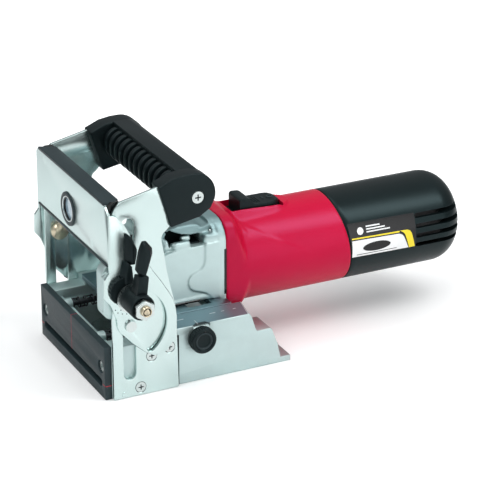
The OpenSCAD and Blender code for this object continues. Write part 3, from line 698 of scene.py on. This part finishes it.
def label_patch(name, pts, r, mat):
    """A flat outline in (y, z) wrapped onto the motor cover's near side."""
    bm = bmesh.new()
    bm.faces.new([bm.verts.new((0, y, z)) for y, z in pts])
    strip = 0.8  # height of the flat strips that follow the curve
    z = min(p_[1] for p_ in pts) + strip
    top = max(p_[1] for p_ in pts)
    while z < top:
        geom = bm.verts[:] + bm.edges[:] + bm.faces[:]
        bmesh.ops.bisect_plane(bm, geom=geom, plane_co=(0, 0, z), plane_no=(0, 0, 1))
        z += strip
    for v in bm.verts:
        v.co.x = math.sqrt(r * r - (v.co.z - MOTOR_Z) ** 2)
    bmesh.ops.recalc_face_normals(bm, faces=bm.faces)
    if sum(f.normal.x for f in bm.faces) < 0:
        bmesh.ops.reverse_faces(bm, faces=bm.faces)
    adopt(placed(name, bm, 60), "black", "motor_unit", mat=mat)


def make_label():
    grain = (500, 0.03, 1e-5)
    ink = finish_material("label_black", (0.004, 0.004, 0.005), 0.22, 0.0, grain, (50, 0.1),
                          spec=0.4)
    paper = finish_material("label_white", (0.88, 0.89, 0.89), 0.25, 0.0, grain, (50, 0.02))
    yellow = finish_material("label_yellow", (0.9, 0.72, 0.02), 0.25, 0.0, grain, (50, 0.03))
    under, middle, over = (BARREL_R + rise for rise in (0.05, 0.09, 0.13))
    label_patch("label_field", [(206.2, 56.8), (259.3, 56.0), (259.3, 81.6), (203.9, 82.4)],
                under, ink)
    label_patch("label_panel", [(206.4, 57.4), (253.6, 56.6), (249.2, 66.4), (247.8, 68.1),
                                (245.2, 69.2), (206.0, 70.3)], middle, paper)
    label_patch("label_stripe", [(254.2, 56.5), (259.1, 56.6), (255.8, 67.9), (254.5, 70.0),
                                 (252.2, 71.0), (245.8, 71.3), (248.4, 69.9), (250.1, 68.2)],
                middle, yellow)
    label_patch("label_line", [(206.0, 71.2), (245.6, 70.1), (245.8, 71.2), (206.0, 72.2)],
                middle, yellow)
    # a plain picture of two boards and a joining biscuit instead of lettering
    label_patch("label_biscuit", oval(226.5, 63.4, 11.5, 3.6, 28), over, ink)
    label_patch("label_rule", [(210, 58.6), (243.5, 58.2), (243.5, 58.7), (210, 59.1)],
                over, ink)
    label_patch("label_dot", oval(213.5, 76.4, 2.6, 2.6, 20), middle, paper)
    for k in range(3):
        label_patch("label_bar_%d" % k, [(218.5, 74.6 + 1.9 * k), (238.0 - 4 * k, 74.4 + 1.9 * k),
                                         (238.0 - 4 * k, 75.3 + 1.9 * k),
                                         (218.5, 75.5 + 1.9 * k)], middle, paper)


# -------------------- gear housing
def make_gear_housing():
    parts = [cad_copy("gear_housing", "gear_base")]
    lobe = [(88.4, 91), (88.3, 78.7), (87.2, 74.6), (85.0, 72.1), (81, 70.6), (77.6, 69),
            (75.5, 66.4), (75.2, 62.6), (76.6, 59.2), (79.4, 57), (84, 55.6), (88, 54),
            (91.4, 51.6), (93.4, 48.6), (99.6, 48.6), (99.6, 91)]
    # the web between crown and flange, seen as a bright post with a slanted top
    web = [(88.0, 89), (87.8, 95), (88.8, 97.2), (93, 97), (99.6, 96.4), (99.6, 89)]
    crown = [(53, 86), (54, 93), (57, 98.5), (62, 102.4), (70, 103.9), (83, 104), (87.6, 102.6),
             (90.6, 99.4), (91.8, 96.4), (99.6, 96), (99.6, 90), (60, 90)]
    parts.append(prism("crown", crown, "X", -26.5, 26.5, 3, 3, corner=15))
    parts.append(prism("flange_front", rounded_rect(0, 68.8, 68.2, 70.6, 15), "Y", 94.8, 99.6))
    for side in (-1, 1):
        parts.append(prism("lobe", lobe, "X", *span(side, 32.5, 34.9)))
        parts.append(prism("web", web, "X", *span(side, 22, 33.6), 1.2, 2))
        parts.append(prism("lower_rib", [(60, 48.6), (99, 48.6), (99, 51.5), (62, 51.2)], "X",
                           *span(side, 33, 34.4)))
        # rounded lip below the pocket and the rim of its round front end
        lip = [(0, 63.5), (2.2, 64.2), (2.9, 66), (2.9, 75.5), (2.2, 77.4), (0, 78)]
        parts.append(lathe("lip", lip, "Y", (side * 31.2, 92.2), 20))
        rim = [(60.5, 89.2), (57.4, 92.4), (56, 96), (56.8, 100), (59.6, 103), (61.4, 101.4),
               (59.2, 98.6), (58.8, 96), (60, 93.4), (62.4, 91)]
        parts.append(prism("rim", rim, "X", *span(side, 22, 28.5)))
    head = melt(join("gear_head", parts), 0.6, 0)
    # well for the spindle lock button
    cuts = [lathe("button_well", [(0, 74), (4.7, 74), (4.7, 83.2), (7.8, 83.2), (7.8, 97),
                                  (0, 97)], "Z", (0, 44.5), 48)]
    for side in (-1, 1):
        # deep pocket under the crown, its upper edge an arch
        arch = [(61.6, 91.6), (61.4, 101.6), (64.6, 102.2), (68.2, 100.4), (72, 98), (76, 96.9),
                (80, 96.5), (86, 96.5), (87.2, 94), (87.2, 91.4), (78.8, 91.2), (78.6, 94.8),
                (64.2, 94.8), (63.4, 92.4)]
        cuts.append(prism("pocket", arch, "X", *span(side, 13, 40)))
        inner = [(60.8, 89.9), (60.8, 101.8), (66, 101.4), (72, 98.6), (80, 97), (86.8, 97),
                 (87.4, 94), (87.4, 89.9)]
        cuts.append(prism("pocket_inner", inner, "X", *span(side, 13, 28)))
    melt(combine(head, cuts), 0.6, 4, 70)
    gear_cast = finish_material("gear_head_alloy", (0.57, 0.705, 0.7), 0.52, 1.0,
                                (2600, 0.05, 3.5e-5), (38, 0.05), wear=((0.7, 0.8, 0.79), 7e-4))
    # painted shade: the gear head's colour darkens towards the top of its crown
    paint_shade_above(gear_cast, 0.0925, 0.099, (0.5, 0.58, 0.6))
    adopt(head, "cast", "motor_unit", "gear_housing", mat=gear_cast)

    def shade_sheet(name, lo, hi, front, back, round_, mat=None):
        adopt(box_piece(name, (lo, *front), (hi, *back), round_, 1), "black", "motor_unit",
              mat=mat)

    for side, tag in reversed(SIDES):
        # painted shade: black sheets deep in the pocket where its shade falls, and a round passage
        # crossing it
        shade_sheet("gear_pocket_back_" + tag, *span(side, 12.4, 16.5), (60.5, 89.6), (88.2, 101.8),
               0.3)
        shade_sheet("gear_pocket_floor_" + tag, *span(side, 13, 27.6), (60.2, 89.4), (88.2, 90.7), 0.2)
        shade_sheet("gear_shadow_gap_" + tag, *span(side, 33.4, 35.1), (56.5, 48.1), (84, 49.7), 0.3,
               MATS["gloss"])
        tube = [(0, 73.6), (1.7, 73.6), (2.3, 74.2), (2.3, 79.6), (1.7, 80.4), (0, 80.4)]
        adopt(lathe("gear_passage_" + tag, tube, "Y", (side * 24.3, 93.8), 32), "cast",
              "motor_unit")
        # painted shade: a black strip in the gap between the casting and the red housing, where
        # the gap lies in shadow
        shade_sheet("flange_gap_shade_" + tag, *span(side, 31.5, 34.62), (102.7, 49.7), (104.75, 84.5), 0.2,
               MATS["gloss"])


# -------------------- handle
HANDLE_SCREW = (68.5, 140.9)  # y and z


def make_handle():
    spine = ([(57.1, 158.5)] + arc(67.9, 149.5, 9, 90, 0, 8) + arc(67.9, 142.1, 9, 0, -90, 8)
             + [(58.5, 133.1), (58.5, 152.5), (57.1, 154.6)])
    adopt(prism("handle_spine", spine, "X", -53.5, 53.5, 0.6, 2), "black", "base",
          "front_handle")
    core = rounded_rect(59.5, 145.2, 15, 17, 6, 6)
    adopt(prism("handle_core", core, "X", -53.5, 53.5), "black", "base")
    rib = ([(64, 155.6)] + arc(57.6, 146.6, 9.6, 100, 180, 8) + arc(57.6, 142.8, 9.6, 180, 262, 8)
           + [(64, 133.4)])
    for i in range(12):
        x = -46 + 92 * i / 11
        adopt(prism("handle_rib_%02d" % i, rib, "X", x - 2.1, x + 2.1, 0.9, 3), "black", "base")
    cheek = ([(48.4, 122.3), (39.5, 152.6), (50.6, 157.2), (59.6, 158.5)]
             + arc(65.8, 142.3, 16.2, 90, -15, 14) + [(78.4, 131.6), (70, 126.4)])
    arm = [(30, 110), (48.4, 122.2), (50, 123.1), (70.2, 129.9), (76.2, 138), (73.2, 148.2),
           (64.1, 153.6), (50, 154), (39, 152.3), (20, 150)]
    for side, tag in reversed(SIDES):
        piece = prism("handle_cheek_" + tag, cheek, "X", *span(side, 52, 64.8), 1.1, 3, corner=28)
        cuts = [prism("arm_cut", arm, "X", *span(side, 59.4, 62.2)),
                rod("screw_cut", 2.3, *span(side, 53.5, 66), "X", HANDLE_SCREW, 24),
                rod("head_cut", 5.1, *span(side, 63.4, 66), "X", HANDLE_SCREW, 48)]
        adopt(combine(piece, cuts), "black", "base")


def hull(name, points, round_):
    """The convex hull of a few points in design millimetres, its edges rounded."""
    bm = bmesh.new()
    for p_ in points:
        bm.verts.new(p_)
    bmesh.ops.convex_hull(bm, input=bm.verts)
    loose = [v for v in bm.verts if not v.link_faces]
    bmesh.ops.delete(bm, geom=loose, context="VERTS")
    bmesh.ops.dissolve_limit(bm, angle_limit=math.radians(2), verts=bm.verts, edges=bm.edges)
    bmesh.ops.recalc_face_normals(bm, faces=bm.faces)
    if round_:
        edges = [e for e in bm.edges if e.calc_face_angle(0) > math.radians(12)]
        bmesh.ops.bevel(bm, geom=edges, offset=round_, segments=2, profile=0.5,
                        affect="EDGES", clamp_overlap=True)
    return from_bm(name, bm, 30)


# -------------------- screws and marks
def cross_screw(tag, side, x, y, z, r, body, nodes=()):
    """A countersunk cross-head screw facing +X (side 1) or -X, its head flush with x."""
    def turned(name, *profile):
        return lathe(name + tag, [(u, side * (x + t)) for u, t in profile], "X", (y, z), 40)

    def cross(name, low, high):
        w, arm = r * 0.11, r * 0.5
        lo, hi = span(side, x + low, x + high)
        return [box_piece(name % k, (lo, y - a, z - b), (hi, y + a, z + b))
                for k, (a, b) in enumerate(((arm, w), (w, arm)))]

    head = turned("screw_", (0, -1.6), (r * 0.55, -1.6), (r * 0.97, -0.2), (r * 0.95, 0.02),
                  (r * 0.6, 0.22), (0, 0.3))
    adopt(combine(head, cross("cross_cut_%d", -0.7, 1)), "steel", body, *nodes,
          mat=MATS["steel"])
    # painted shade: dark slate crosses at the bottom of the cross recess
    for recess in cross("screw_recess_" + tag + "_%d", -0.75, -0.25):
        adopt(recess, "black", body, mat=MATS["slate"])
    # painted shade: a black ring in the gap round the countersunk head
    rim, gap = r * 0.9, r + 0.5
    adopt(turned("screw_gap_shade_", (rim, -0.9), (gap, -0.9), (gap, -0.15), (rim, -0.15),
                 (rim, -0.9)), "black", body)


def make_screws():
    for side, tag in SIDES:
        for k, (y, z) in enumerate(((25.3, 6.2), (33.8, 28.5), (47.4, 32.2))):
            cross_screw("plate_%s_%d" % (tag, k), side, 62.0, y, z, 3.95, "base",
                        nodes=("side_plate_screws",) if side > 0 and k == 0 else ())
        cross_screw("handle_" + tag, side, 64.7, *HANDLE_SCREW, 4.5, "base",
                    nodes=("handle_screws",) if side > 0 else ())
        # painted shade: a black strip behind the side plate's rear edge, where that edge lies in
        # shadow
        lo, hi = span(side, 59.25, 60.1)
        adopt(box_piece("plate_edge_shade_" + tag, (lo, 54.3, 0.5), (hi, 55.5, 38.5), 0.15, 1),
              "black", "base")
        # locating tab of the side plate
        adopt(prism("plate_tab_" + tag, [(11.2, 1.6), (14.4, 2.4), (14.2, 4.6), (11.6, 5.4)],
                    "X", *span(side, 61.8, 62.6), 0.3, 2), "sheet", "base")


def make_face_marks():
    def mark(name, lo, hi):
        adopt(box_piece(name, lo, hi), "red", "base", mat=MATS["mark"])

    for side, tag in SIDES:
        lo, hi = span(side, 54.5, 59.04)
        mark("blade_mark_front_" + tag, (lo, -0.04, 10.3), (hi, 0.3, 10.85))
        lo, hi = span(side, 58.7, 59.04)
        mark("blade_mark_end_" + tag, (lo, -0.04, 10.3), (hi, 4.9, 10.85))
    mark("centre_mark_front", (-1.25, -0.04, 13.4), (-0.85, 0.3, 40.02))
    mark("centre_mark_top", (-1.25, -0.04, 39.7), (-0.85, 4.9, 40.04))


def make_sight_window():
    c = (-6.2, 118.3)
    bezel = lathe("sight_bezel", [(9.4, 2.45), (9.4, 1.85), (9.8, 1.6), (11.5, 1.6), (12.1, 1.9),
                                  (12.2, 2.45), (9.4, 2.45)], "Y", c, 72)
    adopt(bezel, "steel", "fence", "sight_window", mat=MATS["slate"])
    lip = lathe("sight_lip", [(8.35, 4.5), (8.35, 2.0), (8.6, 1.75), (9.1, 1.75), (9.35, 2.0),
                              (9.35, 4.5), (8.35, 4.5)], "Y", c, 72)
    adopt(lip, "steel", "fence")
    wall = lathe("sight_wall", [(7.9, 4.5), (7.9, 2.9), (8.34, 2.4), (8.34, 4.5), (7.9, 4.5)],
                 "Y", c, 72)
    adopt(wall, "steel", "fence", mat=MATS["gloss"])
    lens = lathe("sight_glass", [(0, 3.7), (8.2, 3.9), (8.2, 4.55), (0, 4.55)], "Y", c, 72)
    adopt(lens, "steel", "fence", mat=MATS["lens"])


def make_fence_trim():
    # pressed dimples
    for k, (x, z) in enumerate(((-47.8, 139.9), (-50.6, 108.4), (37.4, 138.7), (35.4, 108.7))):
        dome = lathe("fence_dimple_%d" % k, [(0, 2.2), (1.2, 2.24), (2.2, 2.36), (2.9, 2.52),
                                             (0, 2.56)], "Y", (x, z), 32)
        adopt(dome, "sheet", "fence")
    strip = [(-58.6, 1.7), (58.6, 1.7), (58.6, 10.6), (56.4, 13.5), (-52.6, 13.5)]
    adopt(prism("fence_strip", strip, "Z", 144.42, 146.75, 0.5, 3), "black", "fence",
          "fence_top_strip", mat=MATS["slate"])
    for side, tag in SIDES:
        wedge = [(4.5, 144.6), (4.5, 137.4), (6.4, 136.8), (9.6, 140.2), (13.2, 143.8),
                 (13.5, 145.4), (12.6, 146.6), (6, 146.7)]
        adopt(prism("fence_wedge_" + tag, wedge, "X", *span(side, 53.5, 58.75), 0.9, 3), "black",
              "fence", mat=MATS["gloss"])
    adopt(box_piece("fence_lower_strip", (-62, 1.8, 101.5), (62, 4.9, 103.1), 0.35, 2),
          "black", "fence", "fence_bottom_strip", mat=MATS["slate"])
    # dark line where each ear's rounded edge stands off the side plate
    edge = [(30, 101), (35, 92.6), (40.8, 84), (45.9, 75.5), (49.2, 69.4), (51, 63.4),
            (51.9, 56.2), (51.8, 49.6), (50.6, 42.6), (48.4, 36.8), (44.8, 32), (39.6, 29.6),
            (34, 30), (28.8, 33.2), (20, 40.9)]
    cy, cz = 28, 58  # the middle of the ear

    def grown(by):
        reach = [math.hypot(y - cy, z - cz) for y, z in edge]
        return [(y + by * (y - cy) / d, z + by * (z - cz) / d) for (y, z), d in zip(edge, reach)]

    for side, tag in SIDES:
        adopt(prism("ear_shade_" + tag, grown(0.45) + grown(-0.8)[::-1], "X",
                    *span(side, 62.72, 63.3)), "sheet", "fence", mat=MATS["slate"])
    # a row of scale dots on the near ear
    for k, (y, z) in enumerate(((6.4, 69.8), (8.2, 67.4), (10.4, 69.0), (11.4, 66.0),
                                (13.8, 68.2), (14.6, 65.4))):
        adopt(rod("ear_dot_%d" % k, 0.42, 64.68, 64.74, "X", (y, z), 12), "sheet", "fence",
              mat=MATS["slate"])


def make_depth_knob():
    y0, z0 = 72.0, 33.0
    flutes = 36
    n = 6 * flutes
    bm = bmesh.new()
    # (x, radius, depth of the grip flutes) from the shaft side to the dished face
    rows = [(59.75, 3.0, 0), (59.75, 8.6, 0), (60.1, 9.3, 0), (60.9, 9.55, 0.2),
            (61.6, 9.62, 0.55), (65.2, 9.62, 0.55), (65.9, 9.5, 0.3), (66.3, 9.25, 0),
            (66.75, 8.9, 0), (66.98, 8.3, 0), (66.95, 7.7, 0), (66.6, 7.2, 0), (65.9, 6.6, 0),
            (65.4, 5.6, 0), (65.1, 3.8, 0), (65.0, 0.9, 0)]
    rings = []
    for x, r, flute in rows:
        ring = []
        for i in range(n):
            a = 2 * math.pi * i / n
            rr = r - flute * (0.5 + 0.5 * math.cos(flutes * a))
            ring.append(bm.verts.new((x, y0 + rr * math.cos(a), z0 + rr * math.sin(a))))
        rings.append(ring)
    skin(bm, rings)
    bm.faces.new(rings[0])
    bm.faces.new(rings[-1])
    adopt(from_bm("depth_knob_grip", bm, 40), "black", "depth_dial", "depth_knob")
    shaft = lathe("depth_knob_shaft", [(0, 38.45), (2.7, 38.45), (3.0, 38.8), (3.0, 59.8),
                                       (0, 59.8)], "X", (y0, z0), 32)
    adopt(shaft, "black", "depth_dial")
    ring = lathe("depth_knob_ring", [(5.1, 65.0), (6.1, 65.3), (6.5, 66.0), (6.2, 66.3),
                                     (5.5, 66.3), (5.1, 65.9), (5.1, 65.0)], "X", (y0, z0), 64)
    adopt(ring, "black", "depth_dial", mat=MATS["slate"])
    pointer = rod("depth_knob_dot", 0.55, 66.2, 67.0, "X", (y0 + 0.6, z0 + 7.4), 16)
    adopt(pointer, "black", "depth_dial", mat=MATS["gloss"])
    # the index line above the knob
    adopt(hull("depth_index", [(58.6, 70.6, 43.3), (58.6, 71.0, 43.3), (54.6, 70.0, 44.5),
                               (54.6, 69.6, 44.5), (58.6, 70.8, 43.5), (54.6, 69.8, 44.8)],
               0), "cast", "base", mat=MATS["paint"])
    # painted shade: a dark slate sliver for the shaded notch behind the knob
    recess = hull("knob_notch_shade", [(58.9, 66.6, 42.9), (58.9, 78.4, 42.9), (57.0, 69.2, 43.4),
                                  (57.0, 76.4, 43.4), (58.9, 66.8, 43.3), (58.9, 78.2, 43.3),
                                  (57.0, 69.4, 43.85), (57.0, 76.2, 43.85)], 0)
    adopt(recess, "cast", "base", mat=MATS["slate"])


def rail_z(x):
    """Height of a guide rail's sloping top, x out from the middle."""
    return 43.0 + (59.3 - x) * 4.4 / 13.3


def make_rail_tops():
    """Thin dark strips on the sloping tops of the guide rails, and the slide plate to match; their
    colour is a painted reflection on the rails and painted shade on the slide plate under the gear
    head.
    """
    mat, nt, b = new_material("rail_reflection_and_shade")
    link = nt.links.new
    where = node(nt, "ShaderNodeTexCoord")
    split = node(nt, "ShaderNodeSeparateXYZ")
    link(where.outputs["Object"], split.inputs[0])
    streak = node(nt, "ShaderNodeTexNoise", Scale=900.0, Detail=3.0)
    squash = node(nt, "ShaderNodeMapping", Scale=(1, 0.06, 1))
    link(where.outputs["Object"], squash.inputs["Vector"])
    link(squash.outputs["Vector"], streak.inputs["Vector"])
    # painted reflection: cold grey, turning plum at the rear where the red housing above is
    # reflected
    along = map_range(nt, split.outputs["Y"], 0.034, 0.043)
    tint = ramp(nt, along, [(0.0, (0.155, 0.235, 0.265)), (1.0, (0.205, 0.175, 0.21))])
    link(tint.outputs["Color"], b.inputs["Base Color"])
    rough = ramp(nt, streak.outputs["Fac"], [(0.3, grey(0.36)), (0.7, grey(0.46))])
    link(rough.outputs["Color"], b.inputs["Roughness"])
    b.inputs["Metallic"].default_value = 1.0
    for side, tag in SIDES:
        strip = [(side * 58.8, rail_z(58.8) - 0.2), (side * 58.8, rail_z(58.8) + 0.1),
                 (side * 46.4, rail_z(46.4) + 0.1), (side * 46.4, rail_z(46.4) - 0.2)]
        adopt(prism("rail_top_" + tag, strip, "Y", 54.6, 109.2), "cast", "base", mat=mat)
    adopt(rework("slide_plate", 0.3), "cast", "motor_unit", "slide_plate", mat=mat)


def make_rail_glints():
    """Painted highlights: bright dashes along each rail."""
    for side, tag in SIDES:
        for k, (y0, y1) in enumerate(((58, 63), (83, 87.5), (92, 94.5), (101, 103.5))):
            lo, hi = span(side, 51.0, 51.5)
            z = rail_z(51.25)
            adopt(box_piece("rail_glint_%s_%d" % (tag, k), (lo, y0, z - 0.3), (hi, y1, z + 0.1),
                            0.04, 1), "cast", "base", mat=MATS["paint"])


# -------------------- clamp levers
STUD = (16.0, 79.46)  # y and z of the clamp stud


def make_stud_end():
    studs = cad_copy("clamp_studs", "clamp_stud_pair")
    groove = lathe("groove", [(2.1, 95.2), (2.95, 95.2), (2.95, 98), (2.1, 98), (2.1, 95.2)],
                   "X", STUD, 48)
    adopt(combine(studs, [groove], sharp=30), "zinc", "carriage", "clamp_studs")
    # painted shade: a black ring at the bottom of the groove in the stud's end
    ring = lathe("stud_groove_shade", [(2.05, 94.9), (3.0, 94.9), (3.0, 95.6), (2.05, 95.6),
                                 (2.05, 94.9)], "X", STUD, 48)
    adopt(ring, "black", "carriage")


def make_tilt_lever():
    hub = lathe("tilt_hub", [(3.52, 71.35), (8.4, 71.35), (8.9, 71.8), (8.9, 88.6),
                             (8.5, 89.3), (7.9, 89.5), (7.6, 89.3), (7.5, 88.4), (3.52, 88.4),
                             (3.52, 71.35)], "X", STUD, 64)
    adopt(hub, "black", "tilt_lever", "tilt_lock_lever")
    stem = hull("tilt_stem", [(76.5, 12.2, 84.0), (86, 12.4, 84.0), (86, 20.6, 84.0),
                              (77, 20.6, 84.0), (77.4, 15.2, 100.2), (86, 15.6, 100.6),
                              (86, 21.4, 101.0), (85.6, 22.5, 99.3), (78, 22.5, 99.3)], 0.5)
    adopt(stem, "black", "tilt_lever")
    leaf = hull("tilt_leaf", [
        # the rim, further back, then the crease of the broad front face
        (80.4, 14.2, 104.8), (80.8, 16.3, 116.6), (82.2, 18.8, 125.2), (81.8, 22.0, 125.0),
        (81.4, 26.8, 118.7), (81.4, 27.0, 114.4), (81.6, 22.6, 100.6), (80.6, 17.2, 100.0),
        (85.8, 19.4, 122.8), (86.0, 20.4, 121.8), (86.2, 23.4, 117.4), (86.2, 23.6, 114.4),
        (86.0, 19.6, 100.6), (83.2, 14.6, 104.4), (83.6, 16.6, 116.4),
        (79.2, 17.0, 103.0), (79.2, 22.4, 102.6), (79.2, 25.4, 115.0), (79.4, 18.6, 121.0)],
        0.35)
    adopt(leaf, "black", "tilt_lever")


def make_height_lever():
    hub = lathe("height_hub", [(3.52, 64.9), (9.3, 64.9), (9.3, 69.6), (8.8, 70.25),
                               (3.52, 70.25), (3.52, 64.9)], "X", STUD, 64)
    adopt(hub, "black", "height_lever", "height_lock_lever")
    pts = []
    for i in range(120):
        a = 2 * math.pi * i / 120
        grip = 0.35 * math.cos(a * 24) if 60 <= math.degrees(a) <= 275 else 0
        pts.append((11.4 + (9.9 + grip) * math.cos(a), 84.4 + (9.9 + grip) * math.sin(a)))
    disc = prism("height_disc", pts, "X", 64.9, 68.8, 0, 1, 25)
    bore = rod("bore", 3.52, 60, 75, "X", STUD, 48)
    adopt(combine(disc, [bore], sharp=30), "black", "height_lever")
    stem = hull("height_stem", [(64.9, 9.6, 93.0), (64.9, 9.8, 96), (64.9, 12.0, 105.2),
                                (64.9, 14.2, 105.7), (64.9, 17.0, 102.4), (64.9, 18.4, 88),
                                (69.9, 12.6, 89.4), (70.2, 12.6, 95.4), (70.2, 14.6, 104.4),
                                (70.2, 17.0, 102.0), (70.2, 18.2, 88), (65.4, 10.2, 90)], 0.3)
    adopt(stem, "black", "height_lever")
    leaf = hull("height_leaf", [(65.2, 13.2, 106.0), (65.2, 13.3, 119.4), (65.6, 14.4, 126.0),
                                (66.2, 18.9, 121.6), (66.2, 21.9, 113.8), (66.2, 21.8, 110.4),
                                (66.0, 20.2, 102.0), (65.8, 15.6, 101.6), (69.6, 17.4, 104.0),
                                (70.2, 17.6, 108.0), (70.2, 17.8, 118.6), (70.2, 20.8, 113.6),
                                (70.2, 20.6, 110.6), (70.0, 19.2, 103.2)], 0.3)
    adopt(leaf, "black", "height_lever")


# -------------------- switch
def make_switch():
    side = [(127.3, 96.4), (127.3, 106.5), (127.8, 107.6), (129.2, 108.2), (132, 108.1),
            (134.6, 107.7), (136.2, 106.8), (137.3, 105.1), (138.2, 103.6), (139.6, 102.7),
            (142, 102.3), (150, 102.2), (157, 102.4), (160, 102.0), (161.2, 101.1),
            (161.6, 99.8), (161.6, 96.4)]
    block = prism("switch_thumb", side, "X", -9.2, 9.2)
    plan = [(-9.2, 127.3), (9.2, 127.3)] + arc(0, 152.4, 9.2, 0, 180, 16)
    keep = prism("keep", plan, "Z", 90, 120)
    melt(combine(block, [keep], "INTERSECT"), 0.35, 5, 70)
    adopt(block, "black", "thumb_switch", "switch_slider")
    link = box_piece("switch_link", (-2.5, 158, 96.45), (2.5, 200.5, 97.2), 0.2, 1)
    adopt(link, "black", "thumb_switch")
    hook = box_piece("switch_hook", (-2.5, 198, 91.4), (2.5, 200.5, 96.9), 0.2, 1)
    adopt(hook, "black", "thumb_switch")
    # on and off marks moulded into the pad
    bar = box_piece("switch_mark_on", (-2.2, 149.2, 101.9), (2.2, 150.2, 102.65), 0.2, 2)
    adopt(bar, "black", "thumb_switch", mat=MATS["slate"])
    ring = lathe("switch_mark_off", [(1.4, 102.0), (2.3, 102.0), (2.5, 102.6), (2.1, 102.9),
                                     (1.6, 102.9), (1.3, 102.6), (1.4, 102.0)], "Z",
                 (0, 155.6), 32)
    adopt(ring, "black", "thumb_switch", mat=MATS["slate"])
    for k in range(3):
        rib = box_piece("switch_rib_%d" % k, (-5.5, 140.9 + 1.9 * k, 101.9),
                        (5.5, 141.7 + 1.9 * k, 102.9 - 0.1 * k), 0.25, 2)
        adopt(rib, "black", "thumb_switch")


make_screws()
make_depth_knob()
make_rail_tops()
make_rail_glints()
make_face_marks()
make_sight_window()
make_fence_trim()
make_stud_end()
make_tilt_lever()
make_height_lever()
make_switch()
make_motor_housing()
make_rear_cover()
make_label()
make_gear_housing()
make_handle()

import json
